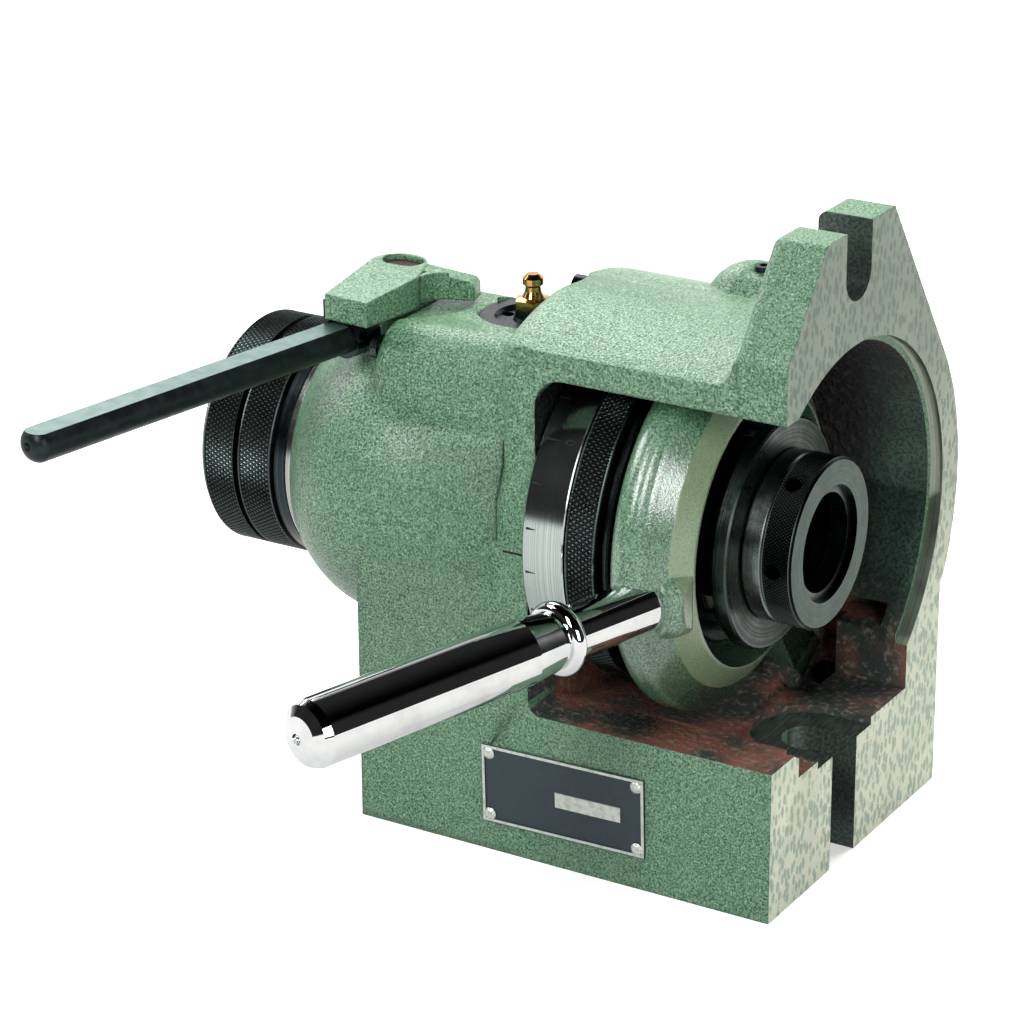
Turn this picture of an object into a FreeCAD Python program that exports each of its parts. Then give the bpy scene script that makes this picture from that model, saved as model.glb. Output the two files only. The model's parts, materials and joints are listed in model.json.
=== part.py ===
import FreeCAD, Part
import math
import os
from FreeCAD import Vector

# Collet indexer: a collet spindle in a cast housing that stands on its base or on its flange,
# closed by a hand lever through a yoke, a sliding sleeve, three fingers and a draw tube.
# Frame: X along the spindle towards the flange face, Z up, origin on the base under the spindle,
# halfway along the base.  All lengths are millimetres.

# Casting
base_length = 139.0
base_front = 47.0
base_back = 63.5
foot_height = 46.0
back_height = 66.0
spindle_height = 100.0
flange_thickness = 17.0
housing_radius = 73.0
cavity_radius = housing_radius - 13.0
register_radius = cavity_radius + 2.0
register_depth = 4.0
window_floor = spindle_height - 52.5
window_top = spindle_height + 51.0
window_corner = 4.0
window_upper_corner = 9.0
upper_front = 42.5
slope_bottom = spindle_height + 12.0
slope_top = spindle_height + 22.0
ear_top = spindle_height + 96.5
ear_shoulder = spindle_height + 67.4
ear_front_corner = -20.0
ear_back_corner = 22.5
ear_round = 4.0
ear_edge_round = 3.0
ear_blend = 7.0
slot_width = 16.0
slot_depth = 20.0
spotface_radius = 17.5
spotface_height = 37.0
floor_height = 39.5
floor_front = 29.9
floor_back = 41.0
ledge_height = spindle_height - 43.0
ledge_length = 19.0
ledge_setback = 9.5
back_rail_width = 33.5

# Head: the barrel that carries the bearings and the boss on top of it
head_overhang = 29.0
head_length = 88.0
barrel_radius = 49.3
nose_radius = 38.8
bell_length = 21.0
housing_end_inset = 12.0
housing_end_lean = 3.7
housing_end_round = 4.5
boss_half_width = 38.0
boss_top = spindle_height + 54.0
boss_corner = 15.0
boss_front_inset = 0.3
boss_length = 47.0
nose_wall = 4.5
pad_radius = 11.5
pad_height = spindle_height + 51.6
pad_sweep = 30.0
vault_front = spindle_height + 58.9
vault_crown = spindle_height + 66.3
vault_back = spindle_height + 59.2
vault_back_y = 35.0
vault_crown_y = -6.4
ledge_cut_height = 6.0
ear_slot_floor = spindle_height + 75.0
hump_x = 24.0
hump_y = 25.0
hump_height = spindle_height + 56.7
hump_radius = 15.0

# Bearings and spindle
bearing_bore_radius = 25.0
bearing_outer_radius = 40.0
bearing_width = 20.0
race_thickness = 4.2
cup_cover_bore = bearing_bore_radius + 9.0
cup_cover_thickness = 3.5
cup_screw_circle = bearing_outer_radius + 3.6
cup_screw_radius = 1.5
preload_width = 7.5
preload_radius = bearing_bore_radius + 7.0
preload_slot_depth = 3.0
roller_count = 15
roller_gap = 0.05
collet_radius = 15.895
collet_mouth_radius = 18.4
collet_half_angle = 10.0
collet_seat_length = 57.0
collet_relief = 0.5
collet_key_sink = 0.3
thread_radius = 27.7
spindle_land_radius = 28.0
plate_seat_radius = 26.0
tail_radius = 22.4
spindle_flange_radius = 35.8
spindle_flange_width = 3.6
running_gap = 0.05
face_gap = 0.3
draw_tube_radius = 17.5
draw_tube_bore = 15.3
draw_tube_thread_length = 14.0
nose_length = 30.0
protector_radius = 36.2
protector_length = 26.5
protector_groove = 2.0
shield_radius = 35.5
shield_width = 4.4

# Index plate and its lever
index_count = 24
index_plate_radius = 38.5
index_plate_width = 10.0
index_hole_radius = 2.95
index_hole_depth = 5.0
pivot_inset = 17.0
pivot_to_cap = 45.3
plunger_tip_radius = 2.9
plunger_radius = 4.0
bush_radius = 6.5
lever_bottom = spindle_height + 52.0
lever_thickness = 10.0
lever_round = 6.3
lever_side = 12.5
lever_rise = 2.5
oblong_length = 13.5
oblong_width = 9.2
finger_reach = 23.0
lever_finger_width = 7.0
lever_finger_angle = 16.0
lug_radius = 7.0
bar_radius = 5.4
bar_length = 124.4
bar_angle = 11.3
bar_height = spindle_height + 49.0
bar_flat = 1.6
lever_pin_radius = 2.75

# Dial and closer
dial_radius = 51.0
dial_width = 13.5
dial_rim = 4.5
dial_web = 5.4
lock_ring_width = 10.2
closer_flange_radius = 48.0
closer_flange_width = 2.2
hub_radius = 30.0
hub_length = 25.1
sleeve_radius = 35.0
sleeve_length = 16.6
sleeve_standoff = 0.8
groove_radius = 32.2
groove_width = 8.4
finger_count = 3
finger_width = 7.8
finger_slot_clearance = 0.3
finger_pivot_x = 18.6
finger_tip_x = 2.1
finger_slot_x = 1.1
finger_pivot_radius = 27.6
finger_pin_radius = 1.5
finger_pin_length = 14.6
thrust_radius = 34.5
thrust_width = 4.7
collar_radius = 25.4
collar_width = 6.0
nut_radius = 25.5
nut_width = 9.8
nut_lip = 2.0
tommy_radius = 2.25
tommy_count = 6
tommy_start = 32.0

# Yoke and handle
yoke_bore = 41.0
yoke_radius = 56.5
yoke_width = 21.6
fulcrum_distance = housing_radius - 3.7
bracket_floor = fulcrum_distance + 11.0
bracket_half_length = 15.5
fulcrum_angle = 55.3
fulcrum_offset = 4.5
fulcrum_pin_radius = 5.0
bracket_base = 2.5
bracket_screw_spread = 11.5
bracket_screw_radius = 2.5
eye_radius = 8.0
eye_half_width = 7.0
ear_gap = 0.3
ear_width = 6.0
shoe_radius = 4.0
shoe_shank_radius = 3.0
shoe_depth = 6.0
yoke_cone_length = 8.5
yoke_cone_rise = 12.5
handle_height = spindle_height - 8.0
handle_angle = 16.2
handle_start = 48.3
handle_start_x = 29.6
handle_length = 128.5
stem_radius = 7.8
stem_length = 32.3
bead_radius = 10.9
bead_length = 5.0
grip_radius = 9.6
socket_depth = 5.0

# Small parts
cap_radius = 16.5
cap_rim = 3.0
cap_plug_radius = 12.9
cap_top = spindle_height + 52.4
cap_hub = 2.5
nipple_height = 10.5
nipple_hex = 10.0
plate_length = 55.0
plate_height = 25.0
plate_thickness = 0.8
plate_x = 1.4
plate_z = 22.7
plate_tilt = 1.2
rivet_radius = 1.25
arm_plug_radius = 3.5
arm_plug_y = 10.5
arm_plug_height = spindle_height + 60.0
arm_plug_depth = 10.0
arm_plug_stand = 2.4
oil_plug_radius = 2.6
oil_plug_inset = 4.5
oil_plug_offset = 3.0
stop_screw_head = 2.2
stop_screw_radius = 2.5
stop_screw_y = -31.0
stop_screw_height = boss_top - 8.0

# Places worked out from the driving sizes
face_x = base_length / 2
nose_side_x = -base_length / 2
head_front = nose_side_x - head_overhang
head_back = head_front + head_length
housing_end = head_back - housing_end_inset
window_x = head_back
plate_front = face_x - flange_thickness
housing_bore_front = head_front + nose_wall
pivot_x = head_front + pivot_inset
cap_x = pivot_x + pivot_to_cap
index_plate_x = pivot_x - index_plate_width / 2
front_bearing_x = index_plate_x + index_plate_width + 1.5
rear_bearing_x = head_back - 5.5 - bearing_width
dial_x = head_back + 0.4
lock_ring_x = dial_x + dial_width + face_gap
closer_x = lock_ring_x + lock_ring_width + face_gap
hub_x = closer_x + closer_flange_width
hub_end = hub_x + hub_length
sleeve_x = hub_x + sleeve_standoff
groove_x = sleeve_x + sleeve_length / 2
thrust_x = hub_end + 0.9
collar_x = thrust_x + thrust_width + 0.1
nut_x = collar_x + collar_width
nut_end = nut_x + nut_width
spindle_end = hub_end - 1.0
spindle_nose = head_front - spindle_flange_width - nose_length
shield_x = head_front - face_gap - spindle_flange_width - shield_width
axis_point = Vector(0, 0, spindle_height)
along = Vector(1, 0, 0)
up = Vector(0, 0, 1)


# General shapes

def box(x0, x1, y0, y1, z0, z1):
    """A block between two corners."""
    return Part.makeBox(x1 - x0, y1 - y0, z1 - z0, Vector(x0, y0, z0))


def face_of(points):
    """A flat face inside a closed run of points; a triple of points is an arc through its middle."""
    edges = []
    start = points[0]
    for item in points[1:]:
        if isinstance(item, tuple):
            edges.append(Part.Arc(start, item[0], item[1]).toShape())
            start = item[1]
        else:
            edges.append(Part.LineSegment(start, item).toShape())
            start = item
    edges.append(Part.LineSegment(start, points[0]).toShape())
    return Part.Face(Part.Wire(edges))


def turned(profile, origin=axis_point, direction=along):
    """A body of revolution: the profile holds (distance along the axis, radius)."""
    def place(p):
        return Vector(p[0], 0, p[1])
    points = []
    for p in profile:
        if isinstance(p[0], tuple):
            points.append((place(p[0]), place(p[1])))
        else:
            points.append(place(p))
    solid = face_of(points).revolve(Vector(0, 0, 0), along, 360)
    solid.Placement = FreeCAD.Placement(origin, FreeCAD.Rotation(along, direction))
    return solid


def ring(x0, x1, inner, outer, bevel=0.4, origin=axis_point, direction=along):
    """A ring with bevelled outer corners."""
    profile = [(x0, inner), (x0, outer - bevel), (x0 + bevel, outer), (x1 - bevel, outer)]
    profile += [(x1, outer - bevel), (x1, inner)]
    return turned(profile, origin, direction)


def rod(start, direction, length, radius):
    """A round bar."""
    return Part.makeCylinder(radius, length, start, direction)


def prism(points, x0, x1):
    """An outline in the YZ plane carried along X; a pair of points is an arc."""
    def place(p):
        return Vector(x0, p[0], p[1])
    corners = []
    for p in points:
        if isinstance(p[0], tuple):
            corners.append((place(p[0]), place(p[1])))
        else:
            corners.append(place(p))
    return face_of(corners).extrude(Vector(x1 - x0, 0, 0))


def around(shape, count, start=0.0):
    """Copies of a shape, evenly spaced round the spindle axis."""
    copies = []
    for index in range(count):
        copy = shape.copy()
        copy.rotate(axis_point, along, start + 360.0 * index / count)
        copies.append(copy)
    return copies


def joined(first, others):
    """One solid from several that touch."""
    return first.fuse(others).removeSplitter()


# Directions used by the yoke's fulcrum: outward from the spindle, and along the fulcrum pin

fulcrum_out = Vector(0, math.cos(math.radians(fulcrum_angle)), -math.sin(math.radians(fulcrum_angle)))
fulcrum_along = Vector(0, math.sin(math.radians(fulcrum_angle)), math.cos(math.radians(fulcrum_angle)))
fulcrum_x = groove_x + fulcrum_offset
fulcrum = Vector(fulcrum_x, 0, spindle_height) + fulcrum_out * fulcrum_distance


def fulcrum_block(x0, x1, along0, along1, out0, out1):
    """A block in the fulcrum's own directions: X, along the pin, outward from the spindle."""
    block = box(x0, x1, along0, along1, -out1, -out0)
    block.Placement = FreeCAD.Placement(axis_point, FreeCAD.Rotation(along, 90 - fulcrum_angle))
    return block


# Casting

def end_wall_x(y):
    """Where the housing's end wall stands, leaning a little in plan."""
    return housing_end - housing_end_lean * (upper_front + y) / housing_radius


def housing_shell():
    """The round housing with a flat end wall, cut flat at the front and below the bulge."""
    far = 3 * housing_radius
    shell = rod(Vector(-far, 0, spindle_height), along, face_x + far, housing_radius)
    top = far + spindle_height
    cut = [
        (-far, -far), (-base_front, -far), (-base_front, slope_bottom), (-upper_front, slope_top),
        (-upper_front, top), (-far, top),
    ]
    below = [(base_back, 0), (far, 0), (far, back_height + far - base_back), (base_back, back_height)]
    above = [
        (-upper_front, vault_front), ((vault_crown_y, vault_crown), (vault_back_y, vault_back)),
        (far, vault_back - 0.62 * (far - vault_back_y)), (far, top), (-upper_front, top),
    ]
    shell = shell.cut([prism(cut, -far, far), prism(below, -far, far), prism(above, -far, plate_front)])
    wall = [Vector(end_wall_x(y), y, 0) for y in (-far, far)]
    beyond = face_of([Vector(-2 * far, -far, 0), wall[0], wall[1], Vector(-2 * far, far, 0)])
    shell = shell.common(box(-2 * far, far, -far, far, 0, top)).cut(beyond.extrude(up * top))
    edges = []
    for edge in shell.Edges:
        middle = edge.CenterOfMass
        on_wall = abs(middle.x - end_wall_x(middle.y)) < 0.01
        if on_wall and middle.z > window_floor and middle.y < cavity_radius:
            edges.append(edge)
    return shell.makeFillet(housing_end_round, edges)


def ear_plate(x0, x1):
    """The flange above the housing: slanted shoulders, the back one tangent to the round housing."""
    rise = ear_top - spindle_height
    turn = math.atan2(ear_back_corner, rise) + math.acos(housing_radius / math.hypot(ear_back_corner, rise))
    tangent_y = housing_radius * math.sin(turn)
    outline = [
        (-upper_front, spindle_height), (-upper_front, ear_shoulder), (ear_front_corner, ear_top),
        (ear_back_corner, ear_top), (tangent_y, spindle_height + housing_radius * math.cos(turn)),
        (tangent_y * 0.8, spindle_height),
    ]
    plate = prism(outline, x0, x1)
    corners = []
    for edge in plate.Edges:
        middle = edge.CenterOfMass
        if abs(edge.tangentAt(0).x) > 0.9 and middle.z > vault_crown and middle.y < 0:
            corners.append(edge)
    plate = plate.makeFillet(ear_round, corners)
    rim = []
    for edge in plate.Edges:
        middle = edge.CenterOfMass
        if abs(middle.x - x0) < 0.01 and middle.z > spindle_height + 1 and middle.y < ear_back_corner:
            rim.append(edge)
    return plate.makeFillet(ear_edge_round, rim)


def ear_fillet():
    """The cast fillet between vault and ear: a concave ring about the vault's centre, trimmed to the ear."""
    crown = Vector(0, vault_crown_y, vault_crown)
    arc = Part.Arc(Vector(0, -upper_front, vault_front), crown, Vector(0, vault_back_y, vault_back)).toShape().Curve
    radius = arc.Radius
    start = plate_front - ear_blend
    bend = ear_blend * (1 - math.sqrt(0.5))
    profile = [
        (start, radius - 12), (start, radius - 0.05),
        ((plate_front - bend, radius + bend), (plate_front, radius + ear_blend)),
        (plate_front + 1, radius + ear_blend), (plate_front + 1, radius - 12),
    ]
    return turned(profile, arc.Center, along).common(ear_plate(start - 1, plate_front + 1))


def hump():
    """The rounded rib on the vault's back, beside the ear, that carries the oil plug."""
    start = Vector(hump_x, hump_y, hump_height)
    bar = rod(start, along, plate_front + 1 - hump_x, hump_radius)
    return joined(bar, [Part.makeSphere(hump_radius, start)])


def head_boss():
    """The rounded boss on top of the barrel."""
    low = spindle_height
    side = boss_half_width
    top = boss_top
    r = boss_corner
    mid = r * (1 - math.sqrt(0.5))
    outline = [
        (-side, low), (-side, top - r), ((-side + mid, top - mid), (-side + r, top)),
        (0, top), ((0.6 * side, top - 0.5 * r), (side, top - 1.9 * r)), (side, low),
    ]
    start = nose_side_x + boss_front_inset
    boss = prism(outline, start, start + boss_length)
    edges = []
    for edge in boss.Edges:
        middle = edge.CenterOfMass
        if middle.x < start + 0.1 and middle.z > low + 1:
            edges.append(edge)
    return boss.makeFillet(4.0, edges)


def barrel():
    """The barrel with its bell mouth."""
    step = barrel_radius - nose_radius
    profile = [
        (head_front, 0), (head_front, nose_radius),
        ((head_front + 0.4 * bell_length, nose_radius + 0.62 * step), (head_front + bell_length, barrel_radius)),
        (housing_end, barrel_radius), (housing_end, 0),
    ]
    return turned(profile)


def u_slot(x_end, width, x_open, z0, z1):
    """An upright slot with a round inner end, open towards x_open."""
    half = width / 2
    centre = x_end + half if x_open > x_end else x_end - half
    end = rod(Vector(centre, 0, z0), up, z1 - z0, half)
    low = min(centre, x_open)
    return end.fuse(box(low, max(centre, x_open), -half, half, z0, z1))


def body_casting():
    """The main casting: foot, back rail, housing, head, ear and every machined seat."""
    foot = box(nose_side_x, face_x, -base_front, base_back, 0, foot_height)
    rail = box(nose_side_x, face_x, base_back - back_rail_width, base_back, 0, back_height)
    pedestal = box(nose_side_x, head_back, -base_front, base_front, 0, spindle_height)
    pad = rod(Vector(pivot_x, 0, spindle_height), up, pad_height - spindle_height, pad_radius)
    upper = [housing_shell(), ear_plate(plate_front, face_x), ear_fillet(), hump()]
    solid = joined(foot, [rail, pedestal, barrel(), head_boss(), pad] + upper)

    past = 1.0
    far = 2 * housing_radius
    cuts = []
    cuts.append(rod(Vector(head_back, 0, spindle_height), along, base_length, cavity_radius))
    cuts.append(rod(Vector(face_x - register_depth, 0, spindle_height), along, base_length, register_radius))
    window = box(window_x, face_x + past, -far, -base_front / 2, window_floor, window_top)
    corners = [e for e in window.Edges if e.CenterOfMass.x < window_x + past and abs(e.tangentAt(0).y) > 0.9]
    lower, upper_corner = sorted(corners, key=lambda e: e.CenterOfMass.z)
    window = window.makeFillet(window_corner, [lower])
    corners = [e for e in window.Edges if e.CenterOfMass.x < window_x + past and e.CenterOfMass.z > window_top - 0.1]
    corners = [e for e in corners if abs(e.tangentAt(0).y) > 0.9]
    cuts.append(window.makeFillet(window_upper_corner, corners))
    cuts.append(box(face_x - 32, face_x + past, -floor_front, floor_back, floor_height, spindle_height))
    slot_end = face_x - slot_depth
    spot_end = slot_end + slot_width / 2 - spotface_radius
    cuts.append(u_slot(slot_end, slot_width, face_x + past, -past, foot_height))
    cuts.append(u_slot(spot_end, 2 * spotface_radius, face_x + past, spotface_height, foot_height))
    cuts.append(ledge_cut())
    cuts.append(ear_slot())
    cuts.append(nose_slot())
    bore_length = head_back + past - housing_bore_front
    cuts.append(rod(Vector(housing_bore_front, 0, spindle_height), along, bore_length, bearing_outer_radius))
    cuts.append(rod(Vector(head_front - past, 0, spindle_height), along, head_length, spindle_land_radius + 0.8))
    cuts.append(rod(Vector(cap_x, 0, spindle_height), up, far, cap_plug_radius))
    cuts.append(rod(Vector(cap_x, 0, cap_top - cap_rim), up, far, cap_radius + 0.4))
    cuts.append(rod(Vector(pivot_x, 0, spindle_height), up, far, bush_radius))
    cuts.append(rod(Vector(pivot_x, 0, pad_height), up, far, pad_sweep))
    room = bracket_half_length + 0.5
    cuts.append(fulcrum_block(fulcrum_x - room, fulcrum_x + room, -15, 15, cavity_radius - 8, bracket_floor))
    cuts.append(rod(oil_hole(), up, 2 * hump_radius, oil_plug_radius))
    cuts.append(rod(arm_plug_start() - along, along, arm_plug_depth + 1, arm_plug_radius))
    cuts += [rod(p, Vector(0, 1, 0), 4.0, rivet_radius) for p in rivet_points()]
    cuts.append(rod(stop_screw_start(), along, 14.0, stop_screw_radius))
    cuts += [rod(p, fulcrum_out, 12.0, bracket_screw_radius) for p in bracket_screw_points()]
    cuts += cap_screw_holes()
    return solid.cut(cuts)


def ledge_cut():
    """The machined seat beside the back wall, with its round end."""
    half = ledge_length / 2
    x_mid = face_x - ledge_setback - half
    y_mid = base_back - half - 5
    end = rod(Vector(x_mid, y_mid, ledge_height), up, ledge_cut_height, half)
    return end.fuse(box(x_mid - half, x_mid + half, 30, y_mid, ledge_height, ledge_height + ledge_cut_height))


def ear_slot():
    """The upper slot for a bolt, open at the top of the ear."""
    half = slot_width / 2
    bottom = ear_slot_floor
    end = rod(Vector(plate_front - 5, 0, bottom + half), along, flange_thickness + 6, half)
    return end.fuse(box(plate_front - 5, face_x + 1, -half, half, bottom + half, ear_top + 1))


def nose_slot():
    """The bolt slot under the head, open to the nose side, below an arched pocket."""
    reach = 24.0
    slot = u_slot(nose_side_x + slot_depth, slot_width, nose_side_x - 1, -1, foot_height)
    half = spotface_radius
    arch = rod(Vector(nose_side_x + reach - half, 0, spotface_height), up, 9, half)
    pocket = box(nose_side_x - 1, nose_side_x + reach - half, -half, half, spotface_height, spotface_height + 9)
    tunnel = rod(Vector(nose_side_x - 1, 0, spotface_height + 5), along, reach - half + 1, half - 2)
    upper = box(nose_side_x - 1, nose_side_x + reach, -half, half, spotface_height, spotface_height + 25)
    return slot.fuse([arch, pocket, tunnel.common(upper)])


def oil_hole():
    """The bottom of the oil hole in the hump."""
    return Vector(hump_x + oil_plug_inset, hump_y - oil_plug_offset, hump_height)


def arm_plug_start():
    """The mouth of the blind hole in the end wall of the housing."""
    return Vector(end_wall_x(arm_plug_y), arm_plug_y, arm_plug_height)


def stop_screw_start():
    """The stop screw's hole in the boss, beside the lever."""
    return Vector(nose_side_x + boss_front_inset, stop_screw_y, stop_screw_height)


def rivet_points():
    """The four corners of the nameplate, tilted with it."""
    turn = math.radians(plate_tilt)
    points = []
    for sx in (-1, 1):
        for sz in (-1, 1):
            dx = sx * (plate_length / 2 - 2.6)
            dz = sz * (plate_height / 2 - 2.6)
            x = plate_x + dx * math.cos(turn) - dz * math.sin(turn)
            z = plate_z + dx * math.sin(turn) + dz * math.cos(turn)
            points.append(Vector(x, -base_front, z))
    return points


def bracket_screw_points():
    """Where the fulcrum bracket's two screws enter the casting."""
    base = Vector(0, 0, spindle_height) + fulcrum_out * bracket_floor
    return [base + Vector(fulcrum_x + s * bracket_screw_spread, 0, 0) for s in (-1, 1)]


def cap_screw_holes():
    """Tapped holes for the bearing cap, round the rear of the head."""
    hole = rod(Vector(head_back - 12, 0, spindle_height + cup_screw_circle), along, 13, cup_screw_radius + 0.1)
    return around(hole, 4, 45)


# Spindle and bearings

def spindle():
    """The collet spindle: taper mouth, collet seat, draw-tube bore and stepped outside."""
    taper = (collet_mouth_radius - collet_radius - collet_relief) / math.tan(math.radians(collet_half_angle))
    seat_start = shield_x + 1.0
    seat_end = spindle_nose + collet_seat_length
    rear_seat = rear_bearing_x + bearing_width
    profile = [
        (spindle_nose, collet_mouth_radius), (spindle_nose, thread_radius - 1), (spindle_nose + 1, thread_radius),
        (shield_x, thread_radius), (shield_x, spindle_land_radius),
        (shield_x + shield_width, spindle_land_radius), (shield_x + shield_width, spindle_flange_radius - 0.4),
        (shield_x + shield_width + 0.4, spindle_flange_radius),
        (head_front - face_gap - 0.4, spindle_flange_radius), (head_front - face_gap, spindle_flange_radius - 0.4),
        (head_front - face_gap, spindle_land_radius), (index_plate_x, spindle_land_radius),
        (index_plate_x, plate_seat_radius), (front_bearing_x, plate_seat_radius),
        (front_bearing_x, bearing_bore_radius), (rear_seat, bearing_bore_radius),
        (rear_seat, tail_radius), (spindle_end - 1, tail_radius), (spindle_end, tail_radius - 1),
        (spindle_end, draw_tube_radius + running_gap), (seat_end, draw_tube_radius + running_gap),
        (seat_end, collet_radius), (seat_start, collet_radius), (seat_start, collet_radius + collet_relief),
        (spindle_nose + taper, collet_radius + collet_relief),
    ]
    key_hole = rod(key_start(), up, thread_radius, 2.0)
    return turned(profile).cut(key_hole)


def key_start():
    """The collet key's inner end, just clear of the collet seat."""
    return Vector(shield_x - 3, 0, spindle_height + collet_radius + collet_key_sink)


def collet_key():
    """The key screw in the nose, drawn back flush."""
    return rod(key_start(), up, thread_radius - collet_radius - collet_key_sink - 0.2, 2.0)


def thread_protector():
    """The screwed ring on the nose, with a groove between two knurled bands."""
    x0 = shield_x - 0.2 - protector_length
    middle = (x0 + shield_x - 0.2) / 2
    half = protector_groove / 2
    inner = thread_radius + running_gap
    deep = protector_radius - 1.2
    profile = [
        (x0, inner), (x0, protector_radius - 1.5), (x0 + 1.5, protector_radius), (middle - half, protector_radius),
        (middle - half, deep), (middle + half, deep), (middle + half, protector_radius),
        (shield_x - 1.2, protector_radius), (shield_x - 0.2, protector_radius - 1), (shield_x - 0.2, inner),
    ]
    return turned(profile)


def nose_shield():
    """The smooth black ring behind the thread protector."""
    return ring(shield_x, shield_x + shield_width, spindle_land_radius, shield_radius)


def nose_seal():
    """The felt ring inside the front wall of the head."""
    return ring(housing_bore_front + 0.2, index_plate_x - 1.5, spindle_land_radius + 0.3, bearing_outer_radius - 0.1)


def index_plate():
    """The plate with evenly spaced holes round its rim."""
    plate = ring(index_plate_x, index_plate_x + index_plate_width, plate_seat_radius, index_plate_radius, 0.8)
    start = Vector(pivot_x, 0, spindle_height + index_plate_radius - index_hole_depth)
    return plate.cut(around(rod(start, up, index_hole_depth + 2, index_hole_radius), index_count))


def bearing(x0, facing):
    """Inner race, rollers and outer race of one taper roller bearing."""
    inner = bearing_bore_radius
    outer = bearing_outer_radius
    t = race_thickness
    lean = 1.6
    x1 = x0 + bearing_width
    cone = [(0, inner), (0, inner + t), (bearing_width, inner + t + lean), (bearing_width, inner)]
    cup = [(0, outer), (0, outer - t - lean), (bearing_width, outer - t), (bearing_width, outer)]
    low = inner + t + lean / 2
    high = outer - t - lean / 2
    radius = (high - low) / 2 - roller_gap
    slope = math.degrees(math.atan2(lean, bearing_width))
    roller = rod(Vector(3, 0, 0), along, bearing_width - 6, radius)
    roller.rotate(Vector(bearing_width / 2, 0, 0), Vector(0, 1, 0), -slope)
    roller.translate(Vector(0, 0, spindle_height + (low + high) / 2))
    parts = [turned(cone), around(roller, roller_count), turned(cup)]
    placed = []
    for part in parts:
        group = part if isinstance(part, list) else [part]
        for solid in group:
            if facing < 0:
                solid.rotate(Vector(bearing_width / 2, 0, spindle_height), up, 180)
            solid.translate(Vector(x0, 0, 0))
        placed.append(Part.makeCompound(group) if isinstance(part, list) else part)
    return placed


def spacer_sleeve():
    """The sleeve between the two inner races."""
    return ring(front_bearing_x + bearing_width, rear_bearing_x, bearing_bore_radius, bearing_bore_radius + 3.5, 0.3)


def bearing_cap():
    """The ring screwed to the head that holds the rear outer race."""
    spigot = bearing_outer_radius - 0.1
    rim = dial_radius - dial_rim - 0.8
    x0 = rear_bearing_x + bearing_width
    x1 = head_back + cup_cover_thickness
    profile = [
        (x0, cup_cover_bore), (x0, spigot), (head_back, spigot), (head_back, rim), (x1, rim), (x1, cup_cover_bore),
    ]
    hole = rod(Vector(head_back - 1, 0, spindle_height + cup_screw_circle), along, 6, cup_screw_radius + 0.2)
    return turned(profile).cut(around(hole, 4, 45))


def cap_screws():
    """Four screws of the bearing cap, as one group."""
    height = spindle_height + cup_screw_circle
    x1 = head_back + cup_cover_thickness
    shank = rod(Vector(head_back - 10, 0, height), along, 10 + cup_cover_thickness, cup_screw_radius)
    head = rod(Vector(x1, 0, height), along, 2.0, cup_screw_radius + 0.5)
    return Part.makeCompound(around(joined(shank, [head]), 4, 45))


def preload_nut():
    """The slotted nut that sets the bearings."""
    x0 = rear_bearing_x + bearing_width + 0.2
    nut = ring(x0, x0 + preload_width, tail_radius, preload_radius, 0.6)
    low = spindle_height + preload_radius - preload_slot_depth
    slot = box(x0 - 1, x0 + preload_width + 1, -2.5, 2.5, low, low + 2 * preload_slot_depth)
    return nut.cut(around(slot, 4))


# Dial and closer

def dial():
    """The graduated cup, open towards the head."""
    rim = dial_radius - dial_rim
    x1 = dial_x + dial_width
    profile = [
        (dial_x, rim), (dial_x, dial_radius - 0.5), (dial_x + 0.5, dial_radius), (x1 - 0.3, dial_radius),
        (x1, dial_radius - 0.3), (x1, tail_radius + running_gap), (x1 - dial_web, tail_radius + running_gap),
        (x1 - dial_web, rim),
    ]
    return turned(profile)


def dial_lock_ring():
    """The knurled ring that clamps the dial."""
    return ring(lock_ring_x, lock_ring_x + lock_ring_width, tail_radius + running_gap, dial_radius, 0.5)


def finger_slot():
    """One slot through the closer body for a finger."""
    half = finger_width / 2 + finger_slot_clearance
    low = spindle_height + tail_radius - 1
    return box(hub_x + finger_slot_x, hub_end + 1, -half, half, low, spindle_height + hub_radius + 1)


def closer_body():
    """The flanged hub on the spindle's tail that carries the fingers."""
    profile = [
        (closer_x, tail_radius), (closer_x, closer_flange_radius - 0.6), (closer_x + 0.6, closer_flange_radius),
        (hub_x - 0.6, closer_flange_radius), (hub_x, closer_flange_radius - 0.6), (hub_x, hub_radius),
        (hub_end - 0.6, hub_radius), (hub_end, hub_radius - 0.6), (hub_end, tail_radius),
    ]
    body = turned(profile)
    body = body.cut(around(finger_slot(), finger_count))
    return body.cut(around(finger_pin_rod(finger_pin_radius), finger_count))


def finger_pin_rod(radius):
    """The pin across one finger slot."""
    start = Vector(hub_x + finger_pivot_x, -finger_pin_length / 2, spindle_height + finger_pivot_radius)
    return rod(start, Vector(0, 1, 0), finger_pin_length, radius)


def finger_pins():
    """The three finger pins, as one group."""
    return Part.makeCompound(around(finger_pin_rod(finger_pin_radius), finger_count))


def finger():
    """One finger: long arm under the sleeve, heel against the thrust flange."""
    top = spindle_height + hub_radius - 0.4
    low = spindle_height + tail_radius + 2.2
    heel = spindle_height + tail_radius + 1.1
    tip = hub_x + finger_tip_x
    half = finger_width / 2
    pivot = hub_x + finger_pivot_x
    corners = [
        (tip, low + 1), (tip, top - 0.6), (tip + 0.5, top), (tip + 1.0, top), (tip + 6.5, top - 2.1),
        (pivot - 2, top - 0.6), (pivot + 1.5, top - 0.6), (thrust_x - 2.6, low + 2.5), (thrust_x - 0.2, low + 1.0),
        (thrust_x - 0.2, heel), (pivot + 3.5, heel), (pivot + 1, low), (tip + 1, low),
    ]
    flat = face_of([Vector(x, -half, z) for x, z in corners])
    solid = flat.extrude(Vector(0, finger_width, 0))
    return solid.cut(finger_pin_rod(finger_pin_radius + running_gap))


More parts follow.
